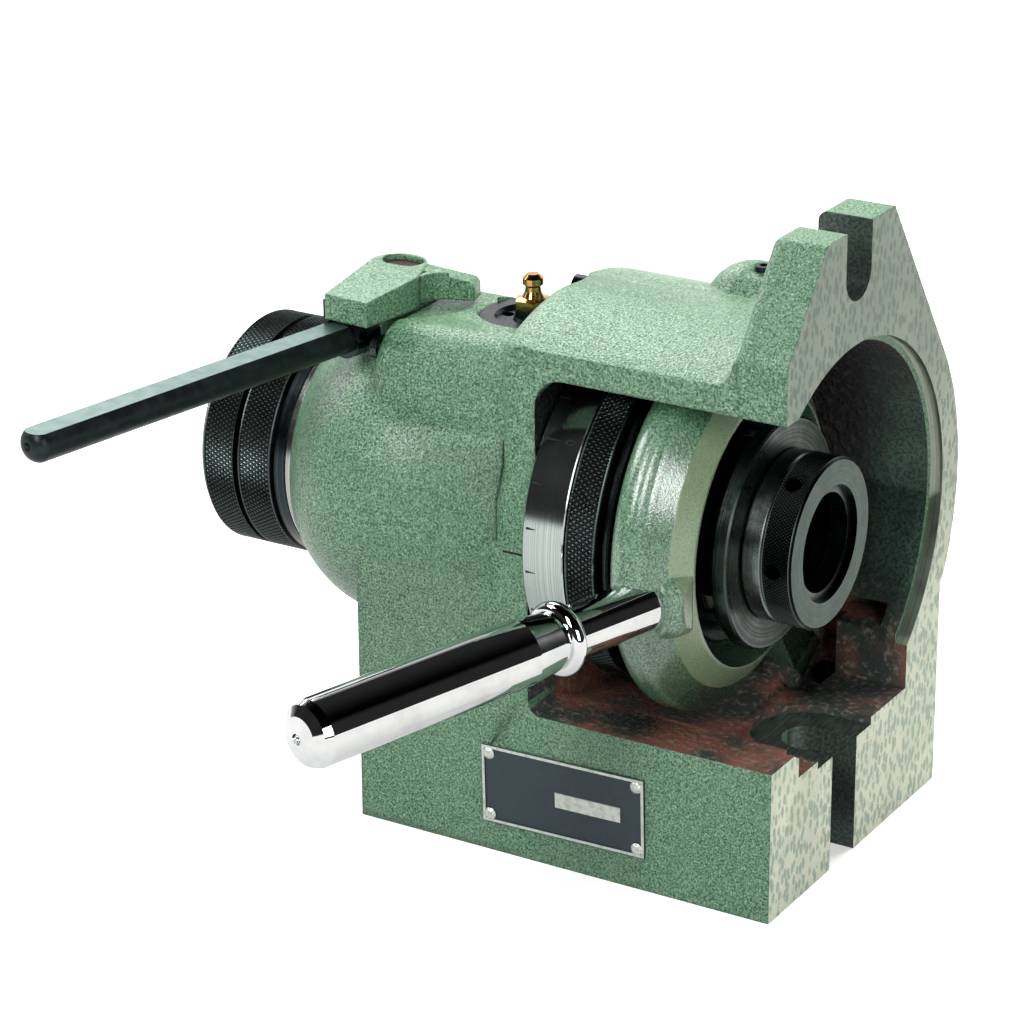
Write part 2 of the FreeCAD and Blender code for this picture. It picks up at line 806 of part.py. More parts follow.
def shifter_sleeve():
    """The grooved sleeve that slides on the closer body and presses the fingers in."""
    inner = hub_radius + running_gap
    x1 = sleeve_x + sleeve_length
    g0 = groove_x - groove_width / 2
    g1 = groove_x + groove_width / 2
    profile = [
        (sleeve_x, inner + 2), (sleeve_x, sleeve_radius - 0.6), (sleeve_x + 0.6, sleeve_radius), (g0, sleeve_radius),
        (g0, groove_radius), (g1, groove_radius), (g1, sleeve_radius), (x1 - 0.6, sleeve_radius),
        (x1, sleeve_radius - 0.6), (x1, inner), (sleeve_x + 2, inner),
    ]
    return turned(profile)


def thrust_flange():
    """The steel flange that the fingers push, free on the draw tube."""
    return ring(thrust_x, thrust_x + thrust_width, draw_tube_radius + running_gap, thrust_radius, 0.6)


def draw_tube():
    """The tube that draws the collet back."""
    x0 = spindle_nose + collet_seat_length + 2.0
    x1 = nut_end - nut_lip
    thread_end = x0 + draw_tube_thread_length
    profile = [
        (x0, draw_tube_bore + 0.4), (x0, draw_tube_radius), (x1, draw_tube_radius), (x1, draw_tube_bore - 0.4),
        (thread_end, draw_tube_bore - 0.4), (thread_end, draw_tube_bore + 0.4),
    ]
    return turned(profile)


def draw_collar():
    """The polished collar between the thrust flange and the nut."""
    return ring(collar_x, nut_x, draw_tube_radius, collar_radius, 0.5)


def adjusting_nut():
    """The knurled end of the draw tube, with tommy holes."""
    profile = [
        (nut_x, draw_tube_radius), (nut_x, nut_radius - 0.6), (nut_x + 0.6, nut_radius),
        (nut_end - 0.8, nut_radius), (nut_end, nut_radius - 0.8), (nut_end, draw_tube_bore + 0.4),
        (nut_end - 0.4, draw_tube_bore), (nut_end - nut_lip, draw_tube_bore), (nut_end - nut_lip, draw_tube_radius),
    ]
    hole = rod(Vector(nut_x + 0.42 * nut_width, 0, spindle_height + nut_radius - 4), up, 8, tommy_radius)
    return turned(profile).cut(around(hole, tommy_count, tommy_start))


# Yoke, handle and fulcrum

def handle_frame():
    """Start point and direction of the handle's axis."""
    turn = math.radians(handle_angle)
    start = Vector(handle_start_x, -handle_start, handle_height)
    return start, Vector(-math.sin(turn), -math.cos(turn), 0)


def yoke():
    """The ring round the closer with a fulcrum eye and a boss for the handle."""
    x1 = thrust_x - 1.3
    x0 = x1 - yoke_width
    edge_x = x1 - yoke_cone_length
    profile = [
        (x0 + 1.5, yoke_bore), (x0, yoke_bore + 2.5), (x0 + 0.6, yoke_radius - 4.5),
        ((x0 + 2.6, yoke_radius - 1.1), (x0 + 8, yoke_radius)),
        ((edge_x - 1.8, yoke_radius - 0.7), (edge_x, yoke_bore + yoke_cone_rise)), (x1, yoke_bore),
    ]
    body = turned(profile)
    start, direction = handle_frame()
    boss = turned([(-9, 0), (-9, 12), (-3, 11.4), (0.5, 9.6), (0.5, 0)], start, direction)
    trim = rod(Vector(x0 - 30, 0, spindle_height), along, 80, yoke_bore)
    eye = rod(fulcrum - fulcrum_along * eye_half_width, fulcrum_along, 2 * eye_half_width, eye_radius)
    arm = fulcrum_block(fulcrum_x - 7, fulcrum_x + 7, -eye_half_width, eye_half_width, yoke_bore + 3, fulcrum_distance)
    boss = boss.cut([trim, box(x1, x1 + 40, -2 * yoke_radius, 0, 0, 2 * spindle_height)])
    body = joined(body, [boss, eye, arm])
    cuts = [rod(fulcrum - fulcrum_along * 20, fulcrum_along, 40, fulcrum_pin_radius + running_gap)]
    cuts.append(rod(start - direction * socket_depth, direction, 30, stem_radius))
    for side in (-1, 1):
        root = Vector(groove_x, 0, spindle_height) + fulcrum_along * side * (yoke_bore - 2)
        cuts.append(rod(root, fulcrum_along * side, 2 + shoe_depth, shoe_shank_radius))
    return body.cut(cuts)


def yoke_shoes():
    """The two round shoes that ride in the sleeve's groove, as one group."""
    shoes = []
    for side in (-1, 1):
        out = fulcrum_along * side
        root = Vector(groove_x, 0, spindle_height)
        tip = rod(root + out * (groove_radius + 0.4), out, yoke_bore - groove_radius - 1.0, shoe_radius)
        shank = rod(root + out * (yoke_bore - 2), out, 2 + shoe_depth, shoe_shank_radius)
        shoes.append(joined(tip, [shank]))
    return Part.makeCompound(shoes)


def closer_handle():
    """The plated handle: stem, bead and grip with a domed end."""
    bead = stem_length
    grip = bead + bead_length
    end = handle_length
    dome = grip_radius * 0.55
    profile = [
        (-socket_depth, 0), (-socket_depth, stem_radius), (bead, stem_radius),
        ((bead + bead_length / 2, bead_radius), (grip, grip_radius - 1)),
        (grip + 1.5, grip_radius - 1), (grip + 12, grip_radius), (end - dome, grip_radius),
        (end - dome * 0.55, grip_radius * 0.9), (end - dome * 0.2, grip_radius * 0.62), (end, 1.6),
        (end - 1.5, 1.2), (end - 1.5, 0),
    ]
    start, direction = handle_frame()
    return turned(profile, start, direction)


def fulcrum_bracket():
    """The forked bracket screwed into the casting that holds the fulcrum pin."""
    floor = bracket_floor
    inner = eye_half_width + ear_gap
    outer = inner + ear_width
    low_x = fulcrum_x - bracket_half_length
    high_x = fulcrum_x + bracket_half_length
    base = fulcrum_block(low_x, high_x, -outer, outer, floor - bracket_base, floor)
    parts = []
    for side in (-1, 1):
        low = min(side * inner, side * outer)
        parts.append(rod(fulcrum + fulcrum_along * low, fulcrum_along, ear_width, eye_radius))
        parts.append(fulcrum_block(fulcrum_x - 7, fulcrum_x + 7, low, low + ear_width, fulcrum_distance, floor))
    body = joined(base, parts)
    cuts = [rod(fulcrum - fulcrum_along * 20, fulcrum_along, 40, fulcrum_pin_radius)]
    cuts += [rod(p - fulcrum_out * 4, fulcrum_out, 8, bracket_screw_radius) for p in bracket_screw_points()]
    return body.cut(cuts)


def bracket_screws():
    """The bracket's two screws, as one group."""
    screws = []
    for p in bracket_screw_points():
        shank = rod(p - fulcrum_out * bracket_base, fulcrum_out, 13, bracket_screw_radius)
        head = rod(p - fulcrum_out * (bracket_base + 3), fulcrum_out, 3, bracket_screw_radius + 1.1)
        screws.append(joined(shank, [head]))
    return Part.makeCompound(screws)


def fulcrum_pin():
    """The pin through the bracket and the yoke's eye."""
    half = eye_half_width + ear_gap + ear_width
    return rod(fulcrum - fulcrum_along * half, fulcrum_along, 2 * half, fulcrum_pin_radius)


# Index lever and plunger

def lever_outline():
    """Plan of the lever block, seen from above, round at the pivot end."""
    x = pivot_x
    z = lever_bottom
    side = x + lever_side
    return [
        Vector(x - 3, -38, z), Vector(side, -39.5, z), Vector(side, -12, z), Vector(x + 8.5, -0.5, z),
        (Vector(x, lever_round, z), Vector(x - 9.3, -2, z)),
    ]


def lever_finger():
    """The finger that reaches over the boss, blunt at its end, blended into the block."""
    low = lever_bottom + 1.2
    high = lever_bottom + lever_thickness
    end = finger_reach
    side = [
        Vector(0, 0, low), Vector(end, 0, low), Vector(end, 0, high - 5.2),
        (Vector(end - 0.7, 0, high - 3.6), Vector(end - 2.4, 0, high - 2.8)), Vector(4, 0, high), Vector(0, 0, high),
    ]
    solid = face_of(side).extrude(Vector(0, lever_finger_width, 0))
    solid.rotate(Vector(0, 0, 0), up, lever_finger_angle)
    solid.translate(Vector(pivot_x + 3, -6.5, 0))
    side_x = pivot_x + lever_side
    blend = [
        Vector(side_x - 2, -9.5, low), Vector(side_x, -9.5, low),
        (Vector(side_x + 1.3, -5.4, low), Vector(side_x + 5.1, -2.4, low)), Vector(side_x, 0, low),
    ]
    return joined(solid, [face_of(blend).extrude(up * (high - 0.4 - low))])


def oblong(length, width, z0, z1):
    """An upright bar of oblong section about the lever's pivot."""
    half = width / 2
    flat = length / 2 - half
    ends = [rod(Vector(pivot_x + s * flat, 0, z0), up, z1 - z0, half) for s in (-1, 1)]
    middle = box(pivot_x - flat, pivot_x + flat, -half, half, z0, z1)
    return joined(middle, ends)


def bar_frame():
    """Start point and direction of the lever bar's axis."""
    turn = math.radians(bar_angle)
    start = Vector(pivot_x + 1.8, -32.5, bar_height)
    return start, Vector(-math.sin(turn), -math.cos(turn), 0)


def lever_bar():
    """The black bar: round, flat along its top, with a domed and centre-drilled end."""
    start, direction = bar_frame()
    dome = 3.5
    profile = [
        (0, 0), (0, bar_radius), (bar_length - dome, bar_radius),
        ((bar_length - dome * 0.3, bar_radius * 0.75), (bar_length, 1.4)), (bar_length - 2.4, 0),
    ]
    bar = turned(profile, start, direction)
    flat = box(-1, bar_length + 1, -bar_radius, bar_radius, bar_radius - bar_flat, bar_radius + 1)
    flat.Placement = FreeCAD.Placement(start, FreeCAD.Rotation(along, direction))
    return bar.cut(flat)


def index_lever():
    """The green lever casting: a block, thinner towards its front, and the finger."""
    block = face_of(lever_outline()).extrude(up * lever_thickness)
    wedge = [(-40, lever_bottom - 1), (-40, lever_bottom + lever_rise), (-9, lever_bottom), (-9, lever_bottom - 1)]
    block = block.cut(prism(wedge, pivot_x - 20, pivot_x + 20))
    body = joined(block, [lever_finger()])
    hole = oblong(oblong_length, oblong_width, lever_bottom - 1, lever_bottom + lever_thickness + 1)
    return body.cut([hole, lever_pin()])


def bar_socket():
    """The dark socket under the lever block that the bar is driven into."""
    start, direction = bar_frame()
    barrel_room = rod(Vector(head_front, 0, spindle_height), along, head_length, barrel_radius + 1.4)
    root = rod(start - direction * 6, direction, 9, lug_radius)
    web = box(pivot_x - 4, pivot_x + 8.5, -37.5, -27, bar_height, lever_bottom + lever_thickness - 2)
    return root.fuse(web).cut([barrel_room, index_lever(), rod(start, direction, 30, bar_radius)])


def lever_pin():
    """The pin through the lever block, flush with its top."""
    start = Vector(pivot_x + 3, -17, lever_bottom - 1.5)
    return rod(start, up, lever_thickness + 1.5, lever_pin_radius)


def index_bush():
    """The bush that guides the plunger in the head."""
    low = spindle_height + bearing_outer_radius + 0.3
    bush = rod(Vector(pivot_x, 0, low), up, pad_height - 0.4 - low, bush_radius)
    return bush.cut(rod(Vector(pivot_x, 0, low - 1), up, 30, plunger_radius + running_gap))


def index_plunger():
    """The plunger, drawn clear of the index plate: tip, threaded shank and oblong head."""
    tip = spindle_height + index_plate_radius + 0.5
    shoulder = tip + index_hole_depth
    head = lever_bottom + 3.5
    profile = [
        (0, 0), (0, plunger_tip_radius - 0.5), (0.8, plunger_tip_radius), (shoulder - tip, plunger_tip_radius),
        (shoulder - tip, plunger_radius), (head - tip, plunger_radius), (head - tip, 0),
    ]
    shank = turned(profile, Vector(pivot_x, 0, tip), up)
    slack = 0.6
    return joined(shank, [oblong(oblong_length - slack, oblong_width - slack, head, head + 5)])


# Fittings on the casting

def oil_cap():
    """The spanner-slotted cap on the head, with a raised centre."""
    top = cap_top
    under = top - cap_rim
    profile = [
        (0, 0), (0, cap_plug_radius - 0.1), (6, cap_plug_radius - 0.1), (6, cap_radius), (6 + cap_rim - 0.5, cap_radius),
        (6 + cap_rim, cap_radius - 0.5), (6 + cap_rim, 11.5), (6 + cap_rim - 1.2, 10.8), (6 + cap_rim - 1.2, 6),
        (6 + cap_rim, 5.4), (6 + cap_rim + cap_hub, 5.0), (6 + cap_rim + cap_hub, 0),
    ]
    cap = turned(profile, Vector(cap_x, 0, under - 6), up)
    holes = [rod(Vector(cap_x + s * 8.5, 0, top - 3), up, 5, 1.8) for s in (-1, 1)]
    holes.append(rod(Vector(cap_x, 0, under - 7), up, 20, 2.6))
    return cap.cut(holes)


def grease_nipple():
    """The brass grease nipple: shank, hexagon, neck and round head."""
    base = Vector(cap_x, 0, cap_top + cap_hub)
    flat = nipple_hex / 2
    corner = flat / math.cos(math.radians(30))
    profile = [
        (-5, 0), (-5, 2.6), (0, 2.6), (0, corner), (2.6, corner), (3.4, 3.4), (5.2, 2.5), (6.6, 2.3),
        (7.4, 3.2), (9.2, 3.2), (nipple_height, 1.8), (nipple_height, 0),
    ]
    body = turned(profile, base, up)
    angles = [math.radians(60 * k) for k in range(6)]
    hexagon = [base + Vector(corner * math.cos(a), corner * math.sin(a), -6) for a in angles]
    return body.common(face_of(hexagon).extrude(up * 20))


def nameplate():
    """The bare plate on the front, with a raised rim, tilted a little."""
    half_x = plate_length / 2
    half_z = plate_height / 2
    plate = box(-half_x, half_x, -plate_thickness, 0, -half_z, half_z)
    rim = 1.2
    dish = box(rim - half_x, half_x - rim, -1, 0.3 - plate_thickness, rim - half_z, half_z - rim)
    plate = plate.cut(dish)
    plate.Placement = FreeCAD.Placement(
        Vector(plate_x, -base_front, plate_z), FreeCAD.Rotation(Vector(0, 1, 0), -plate_tilt))
    return plate.cut([rod(p - Vector(0, 3, 0), Vector(0, 1, 0), 6, rivet_radius) for p in rivet_points()])


def nameplate_rivets():
    """Four round-headed rivets, as one group."""
    profile = [
        (-4, 0), (-4, rivet_radius), (plate_thickness, rivet_radius), (plate_thickness, 1.9),
        (plate_thickness + 0.6, 1.2), (plate_thickness + 0.8, 0.4), (plate_thickness + 0.8, 0),
    ]
    return Part.makeCompound([turned(profile, p, Vector(0, -1, 0)) for p in rivet_points()])


def oil_plug():
    """The socket screw that closes the oil hole in the hump."""
    plug = rod(oil_hole(), up, hump_radius + 0.6, oil_plug_radius)
    return plug.cut(rod(oil_hole() + up * (hump_radius - 2), up, 4, 1.3))


def arm_plug():
    """The black plug in the end wall of the housing."""
    return rod(arm_plug_start() - along * arm_plug_stand, along, arm_plug_depth + arm_plug_stand, arm_plug_radius)


def stop_screw():
    """The screw in the boss that the bar's socket comes to rest beside."""
    start = stop_screw_start()
    shank = rod(start, along, 12, stop_screw_radius)
    return joined(shank, [rod(start - along * stop_screw_head, along, stop_screw_head, stop_screw_radius + 1.3)])


def pieces():
    """Every piece by name."""
    made = {
        "body_casting": body_casting(),
        "spindle": spindle(),
        "collet_key": collet_key(),
        "thread_protector": thread_protector(),
        "nose_shield": nose_shield(),
        "nose_seal": nose_seal(),
        "index_plate": index_plate(),
        "spacer_sleeve": spacer_sleeve(),
        "bearing_cap": bearing_cap(),
        "bearing_cap_screws": cap_screws(),
        "preload_nut": preload_nut(),
        "graduated_dial": dial(),
        "dial_lock_ring": dial_lock_ring(),
        "closer_body": closer_body(),
        "finger_pins": finger_pins(),
        "shifter_sleeve": shifter_sleeve(),
        "thrust_flange": thrust_flange(),
        "draw_tube": draw_tube(),
        "draw_collar": draw_collar(),
        "adjusting_nut": adjusting_nut(),
        "yoke": yoke(),
        "yoke_shoes": yoke_shoes(),
        "closer_handle": closer_handle(),
        "fulcrum_bracket": fulcrum_bracket(),
        "bracket_screws": bracket_screws(),
        "fulcrum_pin": fulcrum_pin(),
        "index_lever": index_lever(),
        "bar_socket": bar_socket(),
        "lever_bar": lever_bar(),
        "lever_pin": lever_pin(),
        "index_bush": index_bush(),
        "index_plunger": index_plunger(),
        "oil_cap": oil_cap(),
        "grease_nipple": grease_nipple(),
        "nameplate": nameplate(),
        "nameplate_rivets": nameplate_rivets(),
        "oil_plug": oil_plug(),
        "arm_plug": arm_plug(),
        "stop_screw": stop_screw(),
    }
    for place, x0, facing in (("front", front_bearing_x, 1), ("rear", rear_bearing_x, -1)):
        cone, rollers, cup = bearing(x0, facing)
        made[place + "_bearing_cone"] = cone
        made[place + "_bearing_rollers"] = rollers
        made[place + "_bearing_cup"] = cup
    for number, shape in enumerate(around(finger(), finger_count), 1):
        made["closer_finger_%d" % number] = shape
    return made


def main():
    """Writes one file for each piece, and prints what came out."""
    os.makedirs("parts", exist_ok=True)
    for name, shape in pieces().items():
        shape.exportStep("parts/%s.step" % name)
        state = "ok" if shape.isValid() else "INVALID"
        print(name, state, len(shape.Solids), "solids", round(shape.Volume), "mm3")


main()
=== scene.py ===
# %% [markdown]
# A collet indexer holds a round bar in a spindle so that a mill or grinder can cut it at exact angles.
# The solid model arrives as a fixed frame with every piece at its real size and place.
# This lesson gives those pieces their finishes, and makes the ones whose surface is the point:
# knurled rings, an engraved dial, a rimmed plate and a cast skin with machined faces.

# %% Load the frame
import json
import math

import bmesh
import bpy
import numpy as np
from mathutils import Matrix, Vector


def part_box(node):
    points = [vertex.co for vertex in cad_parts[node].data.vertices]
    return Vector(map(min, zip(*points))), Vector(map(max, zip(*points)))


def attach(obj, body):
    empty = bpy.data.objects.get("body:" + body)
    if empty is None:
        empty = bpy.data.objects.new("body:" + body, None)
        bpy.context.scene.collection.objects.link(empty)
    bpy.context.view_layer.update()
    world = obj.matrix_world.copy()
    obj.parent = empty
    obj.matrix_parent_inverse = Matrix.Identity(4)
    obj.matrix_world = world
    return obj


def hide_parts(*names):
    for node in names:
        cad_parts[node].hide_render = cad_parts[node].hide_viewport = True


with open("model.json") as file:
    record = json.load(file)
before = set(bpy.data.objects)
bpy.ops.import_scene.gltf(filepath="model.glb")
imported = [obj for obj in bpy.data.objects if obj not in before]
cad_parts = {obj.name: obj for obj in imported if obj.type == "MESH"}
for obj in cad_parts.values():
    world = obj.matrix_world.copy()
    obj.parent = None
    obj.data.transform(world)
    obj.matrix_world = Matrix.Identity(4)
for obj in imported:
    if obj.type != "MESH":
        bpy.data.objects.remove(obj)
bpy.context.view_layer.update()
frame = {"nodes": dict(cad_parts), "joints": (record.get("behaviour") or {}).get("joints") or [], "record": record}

MM = 0.001
joints = {joint["name"]: joint for joint in frame["joints"]}
AXIS = joints["spindle_spin"]["pos_m"][2] / MM
print("nodes", len(frame["nodes"]), "spindle height", AXIS)

# %% [markdown]
# Sizes come from the frame: the box of a node gives where it starts and ends along the spindle,
# and how far it stands from the spindle's axis. All numbers below are millimetres.

# %% Measure pieces in the frame


def span(node):
    """Start and end of a node along the spindle, and its radius about the spindle, in millimetres."""
    low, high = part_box(node)
    return low[0] / MM, high[0] / MM, high[2] / MM - AXIS


casting_low, casting_high = [np.array(corner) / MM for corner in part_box("body_casting")]
FACE_X = casting_high[0]
FRONT_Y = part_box("nameplate")[1][1] / MM
print("flange face at", round(FACE_X, 2), "front wall at", round(FRONT_Y, 2))

# %% [markdown]
# Small helpers serve every material. One turns a hex colour, as a paint maker writes it, into
# the linear light that a shader needs. The next adds one shader node with its settings and links,
# and the rest wrap the nodes that come up most: a mix, a smooth step, noise, bump and the distance
# from the spindle.

# %% Colour and node helpers


def linear(hex_colour):
    """sRGB hex to linear RGBA: c / 12.92 up to 0.04045, and ((c + 0.055) / 1.055) ** 2.4 above it."""
    values = [int(hex_colour[i:i + 2], 16) / 255 for i in (1, 3, 5)]
    return [v / 12.92 if v <= 0.04045 else ((v + 0.055) / 1.055) ** 2.4 for v in values] + [1.0]


def add(tree, kind, inputs=None, **settings):
    """Adds a node, sets its options, and fills or links each named or numbered input."""
    made = tree.nodes.new(kind)
    for key, value in settings.items():
        setattr(made, key, value)
    for key, value in (inputs or {}).items():
        if isinstance(value, bpy.types.NodeSocket):
            tree.links.new(value, made.inputs[key])
        else:
            made.inputs[key].default_value = value
    return made


def material(name):
    """A new material with a Principled shader linked to its output."""
    made = bpy.data.materials.new(name)
    made.use_nodes = True
    made.node_tree.nodes.clear()
    shader = add(made.node_tree, "ShaderNodeBsdfPrincipled")
    add(made.node_tree, "ShaderNodeOutputMaterial", {"Surface": shader.outputs[0]})
    return made, made.node_tree, shader


def mix(tree, factor, first, second):
    """Colour output that goes from first to second as factor goes from 0 to 1."""
    node = add(tree, "ShaderNodeMix", {0: factor, 6: first, 7: second}, data_type="RGBA")
    return node.outputs[2]


def step(tree, value, low, high, out_low=0.0, out_high=1.0):
    """Value output that rises smoothly from out_low to out_high while value goes from low to high."""
    inputs = {0: value, 1: low, 2: high, 3: out_low, 4: out_high}
    return add(tree, "ShaderNodeMapRange", inputs, interpolation_type="SMOOTHSTEP").outputs[0]


def noise(tree, place, size_mm, detail=2.0, rough=0.5, distortion=0.0):
    """Noise whose lumps are about size_mm across."""
    inputs = {"Vector": place, "Scale": 1 / (size_mm * MM), "Detail": detail, "Roughness": rough,
              "Distortion": distortion}
    return add(tree, "ShaderNodeTexNoise", inputs).outputs[0]


def bump(tree, height, depth_mm, strength=1.0, normal=None):
    """Normal output that tilts the surface by a height pattern of the given depth."""
    inputs = {"Height": height, "Distance": depth_mm * MM, "Strength": strength}
    if normal is not None:
        inputs["Normal"] = normal
    return add(tree, "ShaderNodeBump", inputs).outputs[0]


def from_axis(tree, place):
    """Outward vector (0, y, z - axis height) of a place, and its length, the distance from the spindle."""
    axes = add(tree, "ShaderNodeSeparateXYZ", {0: place})
    lifted = add(tree, "ShaderNodeMath", {0: axes.outputs[2], 1: AXIS * MM}, operation="SUBTRACT").outputs[0]
    flat = add(tree, "ShaderNodeCombineXYZ", {1: axes.outputs[1], 2: lifted}).outputs[0]
    return flat, add(tree, "ShaderNodeVectorMath", {0: flat}, operation="LENGTH").outputs["Value"]


def facing_x(tree):
    """How far the surface looks along the spindle, from -1 to 1."""
    facing = add(tree, "ShaderNodeTexCoord").outputs["Normal"]
    return add(tree, "ShaderNodeSeparateXYZ", {0: facing}).outputs[0]


# %% [markdown]
# The housing, yoke and lever are iron castings under a grey-green hammered enamel. The enamel dries in small beads
# under a millimetre across, each with its own tone and gloss point. A fine noise gives beads, a second one sparse
# dark pits, and a broad one the uneven depth of a sprayed coat. A bevel in the normals rounds each cast edge. The
# yoke's coat is thicker and its outer band is rounded, so it takes a clear coat, and its normals lean outward past
# a crisp edge on the cone. The cone faces along the spindle and is painted paler olive, which is painted light
# falling from the right.

# %% Hammered enamel
BEAD = 0.62
YOKE_EDGE = 48.0
# Share of painted light on the yoke's cone: how far it is painted towards olive.
OLIVE_PAINTED_LIGHT = 0.55
OUTWARD_LEAN = 0.72
CAST_EDGE = 1.2
HEAD_EDGE = 5.0


def hammered_enamel(name, edge=CAST_EDGE, head_edge=CAST_EDGE, yoke_band_and_lit_cone=False):
    """Hammer-finish enamel on cast iron: one bead pattern drives relief, colour and gloss together."""
    made, tree, shader = material(name)
    place = add(tree, "ShaderNodeTexCoord").outputs["Object"]
    beads = noise(tree, place, BEAD, 2.0, 0.6, 0.3)
    specks = noise(tree, place, BEAD * 1.3, 1.0)
    coat = noise(tree, place, 30.0, 3.0)
    colour = mix(tree, step(tree, beads, 0.36, 0.56), linear("#294E3B"), linear("#628E6E"))
    # The palest bead tops are partly the enamel's own mottling and partly a painted highlight on the beads.
    colour = mix(tree, step(tree, beads, 0.55, 0.7, 0.0, 0.8), colour, linear("#A2C29E"))
    colour = mix(tree, step(tree, coat, 0.35, 0.7, 0.0, 0.15), colour, linear("#7A967A"))
    colour = mix(tree, step(tree, specks, 0.28, 0.35, 0.9, 0.0), colour, linear("#173329"))
    if yoke_band_and_lit_cone:
        flat, radius = from_axis(tree, place)
        rim = step(tree, radius, (YOKE_EDGE - 0.3) * MM, (YOKE_EDGE + 0.3) * MM)
        front = step(tree, facing_x(tree), 0.5, 0.7)
        cone = add(tree, "ShaderNodeMath", {0: front, 1: rim}, operation="SUBTRACT", use_clamp=True)
        # Painted light: the cone that faces along the spindle is painted paler olive, as if lit from the right.
        painted_cone_light = add(tree, "ShaderNodeMath", {0: cone.outputs[0], 1: OLIVE_PAINTED_LIGHT}, operation="MULTIPLY").outputs[0]
        colour = mix(tree, painted_cone_light, colour, linear("#8F9F78"))
    tree.links.new(colour, shader.inputs["Base Color"])
    tree.links.new(step(tree, beads, 0.35, 0.65, 0.44, 0.24), shader.inputs["Roughness"])
    along = add(tree, "ShaderNodeSeparateXYZ", {0: place}).outputs[0]
    reach = step(tree, along, -0.018, -0.010, head_edge * MM, edge * MM)
    round_edge = add(tree, "ShaderNodeBevel", {"Radius": reach}, samples=4).outputs[0]
    if yoke_band_and_lit_cone:
        outward = add(tree, "ShaderNodeVectorTransform", {0: flat}, vector_type="NORMAL",
                      convert_from="OBJECT", convert_to="WORLD").outputs[0]
        blend = add(tree, "ShaderNodeMath", {0: rim, 1: front}, operation="MULTIPLY").outputs[0]
        share = add(tree, "ShaderNodeMath", {0: blend, 1: OUTWARD_LEAN}, operation="MULTIPLY").outputs[0]
        leaning = add(tree, "ShaderNodeMix", {0: share, 4: round_edge, 5: outward}, data_type="VECTOR")
        rounded = leaning.outputs[1]
        round_edge = add(tree, "ShaderNodeVectorMath", {0: rounded}, operation="NORMALIZE").outputs[0]
        shader.inputs["Coat Weight"].default_value = 1.0
        shader.inputs["Coat Roughness"].default_value = 0.2
        shader.inputs["Coat IOR"].default_value = 1.7
        tree.links.new(bump(tree, beads, 0.12, 0.6, round_edge), shader.inputs["Coat Normal"])
    lumps = bump(tree, noise(tree, place, 6.0, 1.0), 0.4, 0.3, round_edge)
    tree.links.new(bump(tree, beads, 0.25, 0.7, lumps), shader.inputs["Normal"])
    shader.inputs["IOR"].default_value = 1.6
    return made


enamel = hammered_enamel("hammered_grey_green_enamel")
casting_enamel = hammered_enamel("hammered_enamel_on_casting", head_edge=HEAD_EDGE)
yoke_enamel = hammered_enamel("hammered_enamel_on_yoke", yoke_band_and_lit_cone=True)
print("enamel beads", BEAD, "mm")

# %% [markdown]
# The base and the big flange face are hand scraped: each stroke of the scraper leaves a half-moon a few
# millimetres long that reflects differently, so the flat is mottled all over. The strokes are the middles of cells
# that are stretched along the stroke, and a finer noise frays their edges. The face is paler towards the foot and
# darker towards the top.

# %% Scraped iron
STROKE = 2.8
STROKE_LEAN = (0.5, 0.0, 0.5)
STROKE_STRETCH = (1.0, 1.35, 0.72)


def scraped_iron(name):
    """Scraped cast iron: a stroke is where distance to a cell's centre plus noise is low."""
    made, tree, shader = material(name)
    place = add(tree, "ShaderNodeTexCoord").outputs["Object"]
    turned = {"Vector": place, "Rotation": STROKE_LEAN, "Scale": STROKE_STRETCH}
    lean = add(tree, "ShaderNodeMapping", turned).outputs[0]
    spread = {"Vector": lean, "Scale": 1 / (STROKE * MM), "Randomness": 0.85}
    cells = add(tree, "ShaderNodeTexVoronoi", spread)
    fray = noise(tree, place, STROKE * 0.4, 2.0, 0.6)
    broad = noise(tree, place, 18.0, 2.0)
    frayed = add(tree, "ShaderNodeMath", {0: fray, 1: 0.55, 2: cells.outputs[0]}, operation="MULTIPLY_ADD")
    blend = frayed.outputs[0]
    strokes = step(tree, blend, 0.6, 0.86, 1.0, 0.0)
    height = add(tree, "ShaderNodeSeparateXYZ", {0: place}).outputs[2]
    toward_top = step(tree, height, 0.03, 0.16)
    pale = mix(tree, toward_top, linear("#E0E6D0"), linear("#93A192"))
    grey = mix(tree, toward_top, linear("#9AB09F"), linear("#5C7166"))
    colour = mix(tree, strokes, pale, grey)
    colour = mix(tree, step(tree, broad, 0.35, 0.7, 0.0, 0.25), colour, grey)
    tree.links.new(colour, shader.inputs["Base Color"])
    tree.links.new(step(tree, strokes, 0.0, 1.0, 0.5, 0.36), shader.inputs["Roughness"])
    tree.links.new(bump(tree, blend, 0.06, 0.35), shader.inputs["Normal"])
    shader.inputs["Metallic"].default_value = 0.35
    return made


scraped = scraped_iron("scraped_cast_iron")
print("scraper strokes", STROKE, "mm")

# %% [markdown]
# Inside, the casting wears only dark primer over coarse sand-cast skin, rust-brown on the floor where oil and
# chips lie, and it is painted near black towards the crown as painted shade inside the housing. Green mist lies
# where the spray gun reached in from the open side: it follows the depth along the spindle and fades with height,
# which leaves the upper wall dark as painted shade too.

# %% Primed cavity
SAND = 2.0


